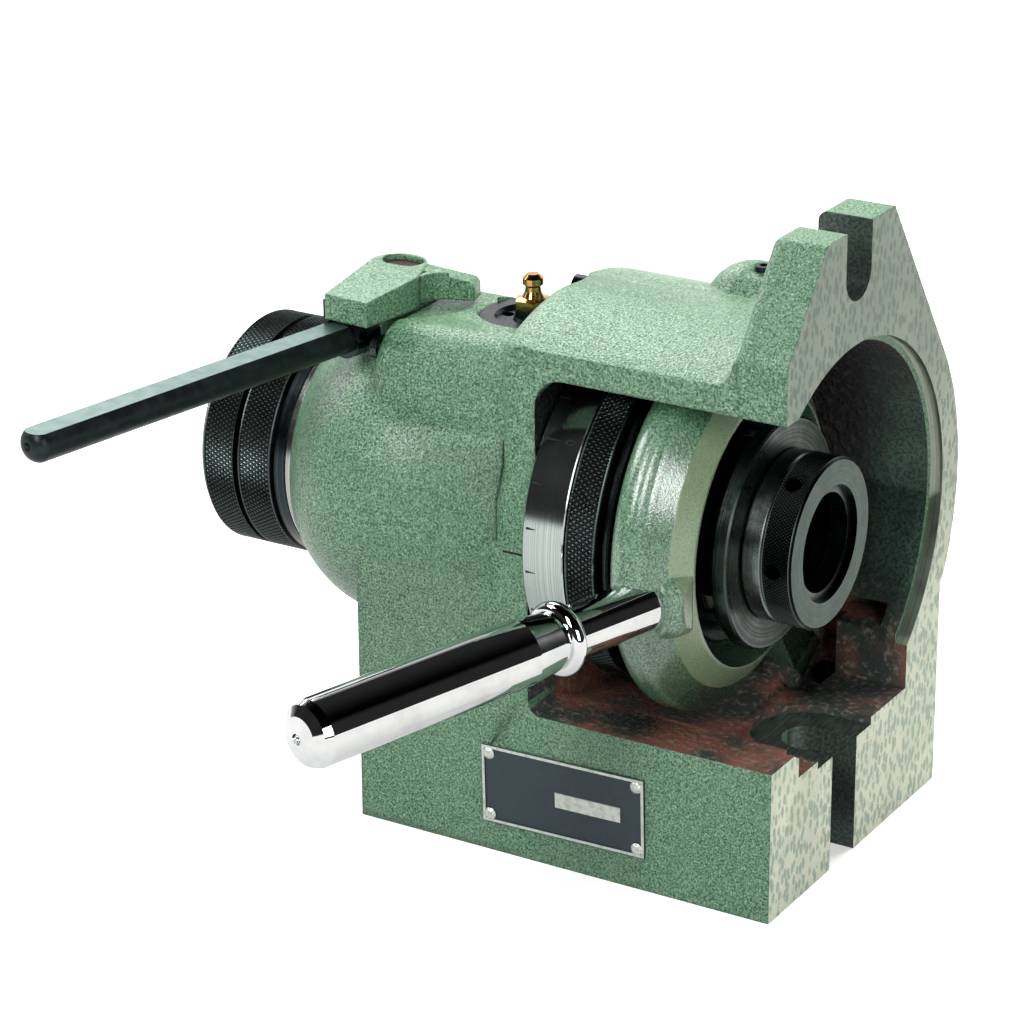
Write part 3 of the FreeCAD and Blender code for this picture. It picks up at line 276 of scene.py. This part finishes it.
def primed_cavity(name):
    """Red-brown primer over a coarse skin, painted shade towards the crown, with green overspray towards the
    flange face.
    """
    made, tree, shader = material(name)
    place = add(tree, "ShaderNodeTexCoord").outputs["Object"]
    grit = noise(tree, place, SAND, 3.0, 0.6)
    fine = noise(tree, place, 0.9, 1.0)
    broad = noise(tree, place, 22.0, 2.0)
    axes = add(tree, "ShaderNodeSeparateXYZ", {0: place})
    depth = step(tree, axes.outputs[0], (FACE_X - 30) * MM, (FACE_X - 2) * MM)
    above_floor_and_shade = step(tree, axes.outputs[2], 0.052, 0.075)
    wall = add(tree, "ShaderNodeMath", {0: depth, 1: above_floor_and_shade}, operation="MULTIPLY").outputs[0]
    patches = step(tree, broad, 0.35, 0.65)
    rust = add(tree, "ShaderNodeMath", {0: patches, 1: above_floor_and_shade}, operation="SUBTRACT")
    # Painted shade: towards the crown the primer is painted near black with fewer pale grains, where shade falls
    # inside the housing.
    shaded_primer = mix(tree, above_floor_and_shade, linear("#3A4240"), linear("#060809"))
    primer = mix(tree, step(tree, rust.outputs[0], 0.0, 0.9), shaded_primer, linear("#7B5145"))
    grain = step(tree, grit, 0.5, 0.7, 0.0, step(tree, above_floor_and_shade, 0.0, 1.0, 0.8, 0.1))
    primer = mix(tree, grain, primer, linear("#857A6C"))
    mist = mix(tree, step(tree, fine, 0.3, 0.65), linear("#344A42"), linear("#58756A"))
    # The mist fades with height so that the wall above stays dark, which is painted shade.
    fading = step(tree, axes.outputs[2], 0.105, 0.15, 1.0, 0.05)
    wall = add(tree, "ShaderNodeMath", {0: wall, 1: fading}, operation="MULTIPLY").outputs[0]
    drift = step(tree, broad, 0.3, 0.7, 0.45, 1.0)
    spray = add(tree, "ShaderNodeMath", {0: wall, 1: drift}, operation="MULTIPLY")
    colour = mix(tree, spray.outputs[0], primer, mist)
    tree.links.new(colour, shader.inputs["Base Color"])
    shader.inputs["Roughness"].default_value = 0.5
    shader.inputs["Specular IOR Level"].default_value = 0.2
    tree.links.new(bump(tree, grit, 1.0, 0.9), shader.inputs["Normal"])
    return made


cavity = primed_cavity("red_primer_on_sand_cast_iron")

# %% [markdown]
# Turned steel shows fine rings round its axis, because a lathe tool leaves a spiral. The pattern is
# noise read only along the spindle and by distance from it, so it runs round every turned piece.
# The same recipe, with other colours and gloss, gives ground steel, black oxide, brass and the dial.

# %% Turned metal
TOOL_MARK = 0.35


def turned_metal(name, dark, light, roughness, metallic=1.0, mark=TOOL_MARK, relief=0.3, stain=None,
                 peaks=None, patch=0.22):
    """Metal with rings round the spindle: noise over (distance along the axis, distance from the axis)."""
    made, tree, shader = material(name)
    place = add(tree, "ShaderNodeTexCoord").outputs["Object"]
    along = add(tree, "ShaderNodeSeparateXYZ", {0: place}).outputs[0]
    radius = from_axis(tree, place)[1]
    rings = add(tree, "ShaderNodeCombineXYZ", {0: along, 1: radius}).outputs[0]
    lines = noise(tree, rings, mark, 3.0, 0.7)
    cloud = noise(tree, place, 7.0, 3.0, 0.6)
    colour = mix(tree, step(tree, lines, 0.35, 0.65), linear(dark), linear(light))
    if stain:
        colour = mix(tree, step(tree, cloud, 0.52, 0.68, 0.0, 0.6), colour, linear(stain))
    if peaks:
        # Painted shade and light: knurl grooves are painted near black, and peaks paler, partly from wear and
        # partly as painted light.
        foot, tip, shade, worn_and_lit = peaks
        crest = mix(tree, step(tree, radius, foot * MM, tip * MM), linear(shade), linear(worn_and_lit))
        end = add(tree, "ShaderNodeMath", {0: facing_x(tree)}, operation="ABSOLUTE").outputs[0]
        colour = mix(tree, step(tree, end, 0.9, 0.97), crest, colour)
    tree.links.new(colour, shader.inputs["Base Color"])
    gloss = step(tree, cloud, 0.3, 0.7, roughness * (1 - patch), roughness * (1 + patch))
    tree.links.new(gloss, shader.inputs["Roughness"])
    tree.links.new(bump(tree, lines, 0.02, relief), shader.inputs["Normal"])
    shader.inputs["Metallic"].default_value = metallic
    return made


ground_steel = turned_metal("ground_steel", "#8E918E", "#C2C4BF", 0.22)
turned_steel = turned_metal("turned_steel_oiled", "#1E2625", "#56625F", 0.3, mark=0.5, relief=0.9,
                            stain="#35332C")
collar_steel = turned_metal("polished_collar", "#5E6866", "#8D9693", 0.24, relief=0.3, stain="#54503F")
turned_iron = turned_metal("turned_cast_iron", "#6F7A70", "#A7B09F", 0.4, mark=0.9, relief=0.8)
oxide = turned_metal("black_oxide_steel", "#20282A", "#3C4748", 0.26, relief=0.2)
dial_steel = turned_metal("satin_chrome_dial", "#A2AEAA", "#C4CCC8", 0.15, relief=0.05, patch=0.04)
brass = turned_metal("turned_brass", "#B4813F", "#E6BE84", 0.18, relief=0.1)
print("turned metals", 7)

# %% [markdown]
# The chrome handle is nickel and chrome over steel: a near mirror with faint polishing scratches.
# The nameplate is slate-black enamel in aluminium; engraved marks are filled with flat black.

# %% Plain finishes


def smooth_finish(name, colour, roughness, metallic, variation, size_mm, relief_mm, upward=None):
    """A finish with a faint cloud in colour and gloss, a small relief, and if asked a paler top, a painted
    reflection of the light above.
    """
    made, tree, shader = material(name)
    place = add(tree, "ShaderNodeTexCoord").outputs["Object"]
    cloud = noise(tree, place, size_mm, 3.0, 0.6)
    shade = mix(tree, step(tree, cloud, 0.4, 0.7), linear(colour), linear(variation))
    if upward:
        facing = add(tree, "ShaderNodeTexCoord").outputs["Normal"]
        rise = add(tree, "ShaderNodeSeparateXYZ", {0: facing}).outputs[2]
        # Painted reflection: faces looking up are painted paler, standing in for the bright light above.
        shade = mix(tree, step(tree, rise, 0.93, 0.96), shade, linear(upward))
    tree.links.new(shade, shader.inputs["Base Color"])
    tree.links.new(step(tree, cloud, 0.3, 0.7, roughness, roughness * 1.5), shader.inputs["Roughness"])
    fine = noise(tree, place, size_mm * 0.3, 2.0)
    tree.links.new(bump(tree, fine, relief_mm, 0.3), shader.inputs["Normal"])
    shader.inputs["Metallic"].default_value = metallic
    return made


chrome = smooth_finish("polished_chrome_plate", "#E2E4E4", 0.035, 1.0, "#D2D5D6", 12.0, 0.01)
plate_enamel = smooth_finish("slate_black_plate_enamel", "#26343A", 0.35, 0.0, "#2C3B40", 3.0, 0.01)
plate_rim = smooth_finish("bright_aluminium", "#D8DDD6", 0.3, 0.8, "#B9C2B8", 2.0, 0.02)
mark_fill = smooth_finish("black_engraving_fill", "#0C0F10", 0.6, 0.0, "#16191A", 1.0, 0.02)
# The bar's flat top is painted paler, a painted reflection of the overhead light.
bar_oxide = smooth_finish("oiled_black_oxide", "#161E20", 0.32, 0.6, "#232D2E", 4.0, 0.04, "#5E7671")
rusty_steel = smooth_finish("browned_steel", "#3A2A28", 0.5, 0.6, "#54403A", 1.5, 0.1)
felt = smooth_finish("pressed_felt", "#5A544A", 0.9, 0.0, "#4A453D", 1.0, 0.2)
print("plain finishes", 7)

# %% [markdown]
# Every node of the solid model gets the finish of its record slot first, and special ones after.

# %% Finish every node
SLOT_FINISH = {
    "green_paint": enamel, "black_oxide": oxide, "ground_steel": ground_steel,
    "satin_chrome_dial": dial_steel, "bearing_steel": ground_steel, "polished_chrome": chrome,
    "brass": brass, "black_nameplate": plate_enamel, "felt": felt,
}
OWN_FINISH = {
    "thrust_flange": turned_steel, "draw_tube": turned_steel, "stop_screw": turned_steel,
    "shifter_sleeve": turned_steel, "index_bush": turned_steel, "draw_collar": collar_steel,
    "nameplate_rivets": plate_rim, "lever_bar": bar_oxide, "index_plunger": rusty_steel,
    "lever_pin": enamel, "yoke": yoke_enamel, "fulcrum_bracket": cavity,
}


def dress(piece, finish):
    """Gives a piece one material."""
    piece.data.materials.clear()
    piece.data.materials.append(finish)


for part in frame["record"]["subparts"]:
    node = part["node"]
    dress(frame["nodes"][node], OWN_FINISH.get(node, SLOT_FINISH[part["material_slot"]]))

# %% [markdown]
# New round pieces are grids: one direction runs along a closed profile, the other round the spindle.
# A helper turns such a grid of points into a mesh, another makes its faces, and a third lays its points round the
# spindle at even spacing.

# %% Grid helpers


def mesh_piece(name, points, faces, body, finish, smooth=True):
    """A mesh from arrays of points in millimetres and of faces, riding on a body of the frame."""
    mesh = bpy.data.meshes.new(name)
    mesh.from_pydata((np.asarray(points) * MM).tolist(), [], [list(face) for face in faces])
    mesh.update()
    mesh.polygons.foreach_set("use_smooth", np.full(len(mesh.polygons), smooth))
    piece = bpy.data.objects.new(name, mesh)
    bpy.context.scene.collection.objects.link(piece)
    dress(piece, finish)
    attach(piece, body)
    return piece


def ring_faces(rows, columns):
    """Quads of a grid closed both ways: rows run along the profile, columns round the spindle."""
    row = np.arange(rows)[:, None]
    column = np.arange(columns)[None, :]
    next_row = (row + 1) % rows
    next_column = (column + 1) % columns
    quad = [row * columns + column, row * columns + next_column,
            next_row * columns + next_column, next_row * columns + column]
    return np.stack(quad, -1).reshape(-1, 4)


def ring_points(along, radius):
    """Grid points from two arrays, place along the spindle and radius, each row by column."""
    turn = np.linspace(0, 2 * np.pi, radius.shape[1], endpoint=False)[None, :]
    x = np.broadcast_to(along, radius.shape)
    return np.stack([x, radius * np.sin(turn), AXIS + radius * np.cos(turn)], -1).reshape(-1, 3)


# %% [markdown]
# Knurling is rolled into steel by two toothed wheels, whose grooves cross and leave rows of small
# pyramids, longer along the ring than round it. Each family of grooves is a zigzag wave over (turns
# plus or minus distance along), and the smaller of the two waves is the height, which is exactly such
# a pyramid. Bump alone would leave the outline smooth, so the pyramids are real. Four samples a pitch
# catch peak and groove, and each small square is split along the groove that crosses it.

# %% Knurled rings
SAMPLES = 4
KNURL_DEPTH = 0.45


def zigzag(value):
    """Triangle wave: 0 at whole numbers, 1 halfway between them."""
    return 1 - np.abs(2 * (value - np.floor(value)) - 1)


def knurled_ring(node, body, inner, pitch, bands, corners, finish, holes=()):
    """A ring with pyramids cut into its bands; corners is its outer profile, pitch is (round, along)."""
    outer = span(node)[2]
    count = int(round(2 * math.pi * outer / pitch[0]))
    columns = count * SAMPLES
    profile = [corners[0]]
    for corner in corners[1:]:
        start = profile[-1]
        in_band = any(abs(start[0] - a) < 0.01 and abs(corner[0] - b) < 0.01 for a, b in bands)
        cells = int(round((corner[0] - start[0]) / pitch[1])) * SAMPLES if in_band else 1
        profile.extend([(start[0] + (corner[0] - start[0]) * (k + 1) / cells,
                         start[1] + (corner[1] - start[1]) * (k + 1) / cells) for k in range(cells)])
    profile = np.array(profile + [(corners[-1][0], inner), (corners[0][0], inner)])
    rows = len(profile)
    x = profile[:, :1]
    radius = np.repeat(profile[:, 1:], columns, axis=1)
    turns = np.arange(columns)[None, :] / SAMPLES
    crossed = np.zeros((rows, columns), dtype=bool)
    for start, end in bands:
        between = (x[:-2, 0] > start - 0.01) & (x[:-2, 0] < end + 0.01)
        row = np.flatnonzero(between & (profile[:-2, 1] > outer - 0.01))
        steps = (row - row[0])[:, None]
        height = np.minimum(zigzag(turns + steps / SAMPLES), zigzag(turns - steps / SAMPLES))
        height[[0, -1]] = 1
        radius[row] -= KNURL_DEPTH * (1 - height)
        crossed[row] = (np.arange(columns)[None, :] + steps + 1) % SAMPLES == 0
    angle = np.arange(columns)[None, :] * 2 * math.pi / columns
    for hole_x, hole_angle, hole_radius, hole_depth in holes:
        away = (angle - hole_angle + math.pi) % (2 * math.pi) - math.pi
        inside = np.hypot(x - hole_x, away * outer) < hole_radius
        radius = np.where(inside & (radius > outer - 1), outer - hole_depth, radius)
    quads = ring_faces(rows, columns)[:, ::-1]
    a, b, c, d = quads.T
    split = crossed.reshape(-1)[:, None]
    first = np.where(split, np.stack([a, b, d], -1), np.stack([a, b, c], -1))
    second = np.where(split, np.stack([b, c, d], -1), np.stack([a, c, d], -1))
    name = node.replace("_", "-") + "-knurled"
    faces = np.concatenate([first, second])
    piece = mesh_piece(name, ring_points(x, radius), faces, body, finish, False)
    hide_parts(node)
    print(name, "pyramids", count, "faces", len(piece.data.polygons))
    return piece


def knurl_oxide(name, outer):
    """Black oxide worn paler on the peaks of a knurl, partly as painted light, and painted near black in its
    grooves as painted shade.
    """
    peaks = (outer - 0.8 * KNURL_DEPTH, outer, "#050708", "#56625F")
    return turned_metal(name, "#222F2B", "#4A5F58", 0.3, relief=0.4, peaks=peaks)


# Inner radii: the nose thread, the spindle's tail and the draw tube.
THREAD = 27.75
TAIL = 22.45
TUBE = 17.5

left, right, outer = span("thread_protector")
centre = (left + right) / 2
groove = 1.0
protector_profile = [
    (left, outer - 1.5), (left + 1.5, outer), (centre - groove, outer), (centre - groove + 0.15, outer - 1.2),
    (centre + groove - 0.15, outer - 1.2), (centre + groove, outer), (right - 1, outer), (right, outer - 1),
]
bands = [(left + 1.5, centre - groove), (centre + groove, right - 1)]
protector = knurled_ring("thread_protector", "spindle_body", THREAD, (1.55, 2.3), bands,
                         protector_profile, knurl_oxide("worn_oxide_with_painted_light_on_protector", outer))

left, right, outer = span("dial_lock_ring")
lock_profile = [(left, outer - 0.5), (left + 0.5, outer), (right - 0.6, outer), (right, outer - 0.5)]
lock_ring = knurled_ring("dial_lock_ring", "lock_ring_body", TAIL, (1.7, 2.2), [(left + 0.5, right - 0.6)],
                         lock_profile, knurl_oxide("worn_oxide_with_painted_light_on_lock_ring", outer))

left, right, outer = span("adjusting_nut")
nut_profile = [(left, outer - 0.6), (left + 0.6, outer), (right - 0.8, outer), (right, outer - 0.8)]
nut_holes = [(left + 0.42 * (right - left), -math.radians(32 + 60 * k), 2.25, 4.0) for k in range(6)]
nut = knurled_ring("adjusting_nut", "draw_tube_body", TUBE, (1.0, 1.3), [(left + 0.6, right - 0.8)],
                   nut_profile, knurl_oxide("worn_oxide_with_painted_light_on_nut", outer), nut_holes)

# %% [markdown]
# The dial is engraved every fifteen degrees, one mark for each hole of the index plate, with a long
# wedge and a plain number each quarter turn. The marks are thin inlays bent round the dial, which
# keeps their edges sharp at any distance.

# %% Dial marks
MARK_LIFT = 0.015
MARK_START = 1.2
LONG_MARK = (5.6, 1.1)
SHORT_MARK = (3.3, 0.8)
DIGIT_HEIGHT = 3.0
DIGIT_FOOT = 8.4
left, right, outer = span("graduated_dial")


def wrap(points, radius, turn):
    """Flat points (along, round) bent onto a cylinder: the second becomes an angle about the spindle."""
    angle = points[:, 1] / radius + turn
    return np.stack([points[:, 0], -radius * np.sin(angle), AXIS + radius * np.cos(angle)], -1)


def wedge(length, base, turn):
    """A tapered mark with its wide end at the dial's edge."""
    start = left + MARK_START
    flat = np.array([[start, -base / 2], [start, base / 2], [start + length, 0.08], [start + length, -0.08]])
    return wrap(flat, outer + MARK_LIFT, turn)


def digits(text, height, turn):
    """A number as flat triangles bent round the dial, with its foot towards the head."""
    curve = bpy.data.curves.new("digits", "FONT")
    curve.body = text
    curve.align_x = "CENTER"
    curve.size = height * 1.4
    holder = bpy.data.objects.new("digits", curve)
    mesh = bpy.data.meshes.new_from_object(holder)
    spots = np.empty(len(mesh.vertices) * 3)
    mesh.vertices.foreach_get("co", spots)
    spots = spots.reshape(-1, 3)
    faces = [list(p.vertices) for p in mesh.polygons]
    bpy.data.objects.remove(holder)
    bpy.data.curves.remove(curve)
    bpy.data.meshes.remove(mesh)
    flat = np.stack([left + DIGIT_FOOT + spots[:, 1], -spots[:, 0]], -1)
    return wrap(flat, outer + MARK_LIFT, turn), faces


mark_points, mark_faces = [], []
MARKS = 24
ZERO_TURN = math.radians(51)
for number in range(MARKS):
    turn = ZERO_TURN + 2 * math.pi * number / MARKS
    long_mark = number % (MARKS // 4) == 0
    offset = len(mark_points)
    mark_points.extend(wedge(*(LONG_MARK if long_mark else SHORT_MARK), turn))
    mark_faces.append([offset, offset + 1, offset + 2, offset + 3])
    if long_mark:
        points, faces = digits(str(number * 360 // MARKS), DIGIT_HEIGHT, turn)
        offset = len(mark_points)
        mark_points.extend(points)
        mark_faces.extend([[offset + i for i in face] for face in faces])
marks = mesh_piece("dial-marks", mark_points, mark_faces, "dial_body", mark_fill, False)
print("dial marks", MARKS, "points", len(mark_points))

# %% [markdown]
# The casting is one piece of iron with several surfaces. A copy of its mesh is joined where the
# triangles meet, and each face is sorted by where it is and which way it looks: scraped flats, the
# turned bore, milled seats, the primed inside, and enamel everywhere else. The sorting is arithmetic
# on whole arrays, and the copy stands for the node.

# %% Cast housing
REGISTER_DEPTH = 4.0
REGISTER = 62.0
CAVITY = 61.0
SEAT_HEIGHT = 37.0
END_WALL = -10.5
PIT_LOW, PIT_HIGH = 30.0, 66.5
PIT_FRONT, PIT_BACK = -46.5, 62.0
SLOT_HALF, SLOT_DEPTH = 8.3, 20.5
FOOT_SLOT_TOP, UPPER_SLOT_FOOT = 46.5, 174.5
milled_dark = turned_metal("milled_seat_oiled", "#343F3B", "#5A6761", 0.42, metallic=0.6, mark=1.0,
                           relief=0.4)

source = frame["nodes"]["body_casting"]
skin_mesh = bpy.data.meshes.new("cast-housing")
work = bmesh.new()
work.from_mesh(source.data)
bmesh.ops.remove_doubles(work, verts=work.verts, dist=0.002 * MM)
bmesh.ops.dissolve_limit(work, angle_limit=math.radians(0.3), verts=work.verts, edges=work.edges)
work.to_mesh(skin_mesh)
work.free()
skin = bpy.data.objects.new("cast-housing", skin_mesh)
bpy.context.scene.collection.objects.link(skin)
count = len(skin_mesh.polygons)
centres = np.empty(count * 3)
normals = np.empty(count * 3)
skin_mesh.polygons.foreach_get("center", centres)
skin_mesh.polygons.foreach_get("normal", normals)
centres = centres.reshape(-1, 3) / MM
normals = normals.reshape(-1, 3)
x, y, z = centres.T
away = np.hypot(y, z - AXIS)
inward = (normals[:, 1] * y + normals[:, 2] * (z - AXIS)) / np.maximum(away, 1e-6)
kind = np.zeros(count, dtype=np.int32)
inside = (x > END_WALL - 1.5) & (x < FACE_X - 0.2) & (away < CAVITY) & (inward < -0.3)
end_wall = (np.abs(x - END_WALL) < 2.5) & (normals[:, 0] > 0.8) & (away < CAVITY)
low_part = (z > PIT_LOW) & (z < PIT_HIGH) & (y > PIT_FRONT) & (y < PIT_BACK)
pit = low_part & (x > END_WALL + 0.5) & (x < FACE_X - 0.2)
kind[inside | end_wall | pit] = 1
front_wall = (y < PIT_FRONT) | (z < PIT_LOW)
kind[front_wall & (kind == 1)] = 0
bore = (x > FACE_X - REGISTER_DEPTH - 0.2) & (np.abs(away - REGISTER) < 0.6) & (inward < -0.8)
kind[bore] = 3
beside_slot = (np.abs(y) < SLOT_HALF) & (x > FACE_X - SLOT_DEPTH) & (np.abs(normals[:, 0]) < 0.98)
slot = beside_slot & ((z > UPPER_SLOT_FOOT) | (z < FOOT_SLOT_TOP))
kind[slot] = 4
seat = (normals[:, 2] > 0.95) & (np.abs(z - SEAT_HEIGHT) < 0.3)
kind[seat] = 4
flat_face = (normals[:, 0] > 0.95) & (x > FACE_X - 0.1)
kind[flat_face | ((normals[:, 2] < -0.95) & (z < 0.1))] = 2
for finish in (casting_enamel, cavity, scraped, turned_iron, milled_dark):
    skin_mesh.materials.append(finish)
skin_mesh.polygons.foreach_set("material_index", kind)
skin_mesh.set_sharp_from_angle(angle=math.radians(28))
skin_mesh.update()
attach(skin, "frame")
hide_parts("body_casting")
print("housing faces by finish", np.bincount(kind).tolist())

# %% [markdown]
# The plate is bare: slate-black enamel in a bright raised border, with an empty bright panel and a
# rivet in each corner. Border and panel are flat bars with a chamfer, made from one outline each.

# %% Nameplate
PLATE_LENGTH = 55.0
PLATE_HEIGHT = 25.0
low, high = [np.array(corner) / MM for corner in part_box("nameplate")]
plate_centre = (low + high) / 2
PLATE_TILT = math.radians(1.2)


def plate_place(points):
    """Plate points (along, up, out) turned by the plate's tilt and set on the front wall."""
    c, s = math.cos(PLATE_TILT), math.sin(PLATE_TILT)
    x = plate_centre[0] + points[:, 0] * c - points[:, 1] * s
    z = plate_centre[2] + points[:, 0] * s + points[:, 1] * c
    return np.stack([x, FRONT_Y - points[:, 2], z], -1)


def raised_bar(name, loops, finish, closed_top):
    """Nested outlines, each (half length, half height, centre x, centre y, out), joined loop to loop."""
    sides = np.array([(-1, -1), (1, -1), (1, 1), (-1, 1)])
    points = [(sides * (a, b) + (cx, cy), out) for a, b, cx, cy, out in loops]
    grid = np.concatenate([np.column_stack([flat, np.full(4, out)]) for flat, out in points])
    faces = ring_faces(len(loops), 4)
    if closed_top:
        lid = len(grid) - 4 + np.arange(4)
        faces = np.concatenate([faces[:-4], [lid]])
    return mesh_piece(name, plate_place(grid), faces, "frame", finish, False)


half_length, half_height = PLATE_LENGTH / 2, PLATE_HEIGHT / 2
border = raised_bar("nameplate-border", [
    (half_length, half_height, 0, 0, 0.05), (half_length, half_height, 0, 0, 0.7),
    (half_length - 0.2, half_height - 0.2, 0, 0, 0.85), (half_length - 1.0, half_height - 1.0, 0, 0, 0.85),
    (half_length - 1.2, half_height - 1.2, 0, 0, 0.5), (half_length - 1.2, half_height - 1.2, 0, 0, 0.05),
], plate_rim, False)
panel = raised_bar("nameplate-panel", [
    (11.0, 2.4, 8.5, -0.35, 0.45), (11.0, 2.4, 8.5, -0.35, 0.66), (10.8, 2.2, 8.5, -0.35, 0.72),
], plate_rim, True)
print("plate centre", plate_centre.round(1))

# %% [markdown]
# A short line is scribed into the head as the dial's zero. It is a thin black bar in the enamel.

# %% Zero line
LINE_START, LINE_END = -18.8, -11.6
LINE_HALF = 0.35
LINE_HEIGHT = 97.6
LINE_LIFT = 0.03
line = np.array([[LINE_START, -LINE_HALF], [LINE_END, -LINE_HALF],
                 [LINE_END, LINE_HALF], [LINE_START, LINE_HALF]])
zero = np.stack([line[:, 0], np.full(4, FRONT_Y - LINE_LIFT), LINE_HEIGHT + line[:, 1]], -1)
zero_line = mesh_piece("zero-line", zero, [[0, 1, 2, 3]], "frame", mark_fill, False)

# %% [markdown]
# The studio: a pale floor that keeps a soft shadow and glows white far from the object, and
# surroundings that are pale low down behind the object and dark overhead and behind the camera. Black
# steel and chrome show what they reflect, so the dark part draws the black band along the handle.

# %% Floor and surroundings
floor_mesh = bpy.data.meshes.new("floor")
floor_mesh.from_pydata([(-6, -6, 0), (6, -6, 0), (6, 6, 0), (-6, 6, 0)], [], [(0, 1, 2, 3)])
floor = bpy.data.objects.new("floor", floor_mesh)
bpy.context.scene.collection.objects.link(floor)
paper = bpy.data.materials.new("white_paper")
paper.use_nodes = True
tree = paper.node_tree
tree.nodes.clear()
rays = add(tree, "ShaderNodeLightPath")
seen = add(tree, "ShaderNodeMath", {0: rays.outputs["Is Camera Ray"], 1: rays.outputs["Is Glossy Ray"]},
           operation="MAXIMUM")
seen = add(tree, "ShaderNodeMath", {0: seen.outputs[0], 1: rays.outputs["Is Transmission Ray"]},
           operation="MAXIMUM")
sheet = mix(tree, rays.outputs["Is Camera Ray"], (0.38, 0.38, 0.38, 1), (0.8, 0.8, 0.8, 1))
cover = add(tree, "ShaderNodeBsdfDiffuse", {"Color": sheet})
spot = add(tree, "ShaderNodeTexCoord").outputs["Object"]
reach = add(tree, "ShaderNodeVectorMath", {0: spot}, operation="LENGTH").outputs["Value"]
far_glow = step(tree, reach, 0.5, 1.8, 0.45, 1.0)
glow_level = add(tree, "ShaderNodeMath", {0: seen.outputs[0], 1: far_glow}, operation="MULTIPLY")
glow = add(tree, "ShaderNodeEmission", {"Strength": glow_level.outputs[0]})
both = add(tree, "ShaderNodeAddShader", {0: cover.outputs[0], 1: glow.outputs[0]})
add(tree, "ShaderNodeOutputMaterial", {"Surface": both.outputs[0]})
floor_mesh.materials.append(paper)

world = bpy.data.worlds.new("studio")
bpy.context.scene.world = world
world.use_nodes = True
tree = world.node_tree
tree.nodes.clear()
rays = add(tree, "ShaderNodeLightPath")
direction = add(tree, "ShaderNodeTexCoord").outputs["Generated"]
behind = add(tree, "ShaderNodeVectorMath", {0: direction, 1: (-0.35, 0.93, 0.1)}, operation="DOT_PRODUCT")
pale = step(tree, behind.outputs["Value"], 0.2, 0.8, 0.03, 1.5)
high = add(tree, "ShaderNodeSeparateXYZ", {0: direction}).outputs[2]
low_band = step(tree, high, 0.42, 0.6, 1.0, 0.02)
level = add(tree, "ShaderNodeMath", {0: pale, 1: low_band}, operation="MULTIPLY").outputs[0]
even = add(tree, "ShaderNodeMix", {0: rays.outputs["Is Glossy Ray"], 2: 0.26, 3: level}).outputs[0]
shown = add(tree, "ShaderNodeMix", {0: rays.outputs["Is Camera Ray"], 2: even, 3: 1.0}).outputs[0]
back = add(tree, "ShaderNodeBackground", {"Strength": shown})
add(tree, "ShaderNodeOutputWorld", {"Surface": back.outputs[0]})

# %% [markdown]
# A large warm lamp above and behind makes the upward faces about three times as bright as the front,
# and a strip beside the camera draws the highlight on the yoke. The large one is left out of
# reflections, because its place is inside what the chrome handle mirrors to the camera.

# %% Lamps


def soft_lamp(name, place, aim, width, height, watts):
    """A rectangular area lamp at a place in metres, turned to face its aim."""
    data = bpy.data.lights.new(name, "AREA")
    data.shape = "RECTANGLE"
    data.size = width
    data.size_y = height
    data.energy = watts
    lamp = bpy.data.objects.new(name, data)
    lamp.location = place
    lamp.rotation_euler = (Vector(aim) - Vector(place)).to_track_quat("-Z", "Y").to_euler()
    bpy.context.scene.collection.objects.link(lamp)
    return lamp


AIM = (0.0, 0.0, 0.1)
soft_lamp("left_softbox", (-1.25, -0.35, 0.95), AIM, 0.6, 0.6, 9.0)
soft_lamp("front_strip", (-0.05, -1.15, 0.95), AIM, 0.34, 0.7, 12.0)
soft_lamp("back_left_softbox", (-0.9, 0.7, 1.05), AIM, 0.7, 0.7, 8.0)
overhead = soft_lamp("back_top_softbox", (0.0, 1.05, 1.15), AIM, 1.1, 1.1, 42.0)
overhead.data.color = (1.0, 0.95, 0.87)
overhead.visible_glossy = False
soft_lamp("right_fill", (1.3, -0.9, 0.6), AIM, 0.8, 0.8, 8.0)
print("lamps", 5)

# %% [markdown]
# The camera stands where the photograph's did: its direction and distance come from a fit of the
# casting's straight edges and circles. The lens is that fit's focal length for a 36 mm sensor.

# %% Camera
IMAGE_PX = 1024
FOCAL_PX = 3708.8
SENSOR = 36.0
azimuth = math.radians(31.196)
elevation = math.radians(22.110)
roll = math.radians(-0.388)
distance = 1.17192
target = Vector((-0.067704, 0.039206, 0.069445))
backward = Vector((math.sin(azimuth) * math.cos(elevation), -math.cos(azimuth) * math.cos(elevation),
                   math.sin(elevation)))
rightward = Vector((math.cos(azimuth), math.sin(azimuth), 0))
upward = backward.cross(rightward)
right_rolled = rightward * math.cos(roll) + upward * math.sin(roll)
up_rolled = upward * math.cos(roll) - rightward * math.sin(roll)
camera_data = bpy.data.cameras.new("camera")
camera_data.sensor_width = SENSOR
camera_data.lens = FOCAL_PX / IMAGE_PX * SENSOR
camera_data.clip_start = 0.01
camera = bpy.data.objects.new("camera", camera_data)
turn = Matrix((right_rolled, up_rolled, backward)).transposed().to_4x4()
camera.matrix_world = Matrix.Translation(target + backward * distance) @ turn
bpy.context.scene.collection.objects.link(camera)
bpy.context.scene.camera = camera
bpy.context.scene.view_settings.view_transform = "Standard"
print("lens", round(camera_data.lens, 1), "mm at", [round(v, 3) for v in camera.location])
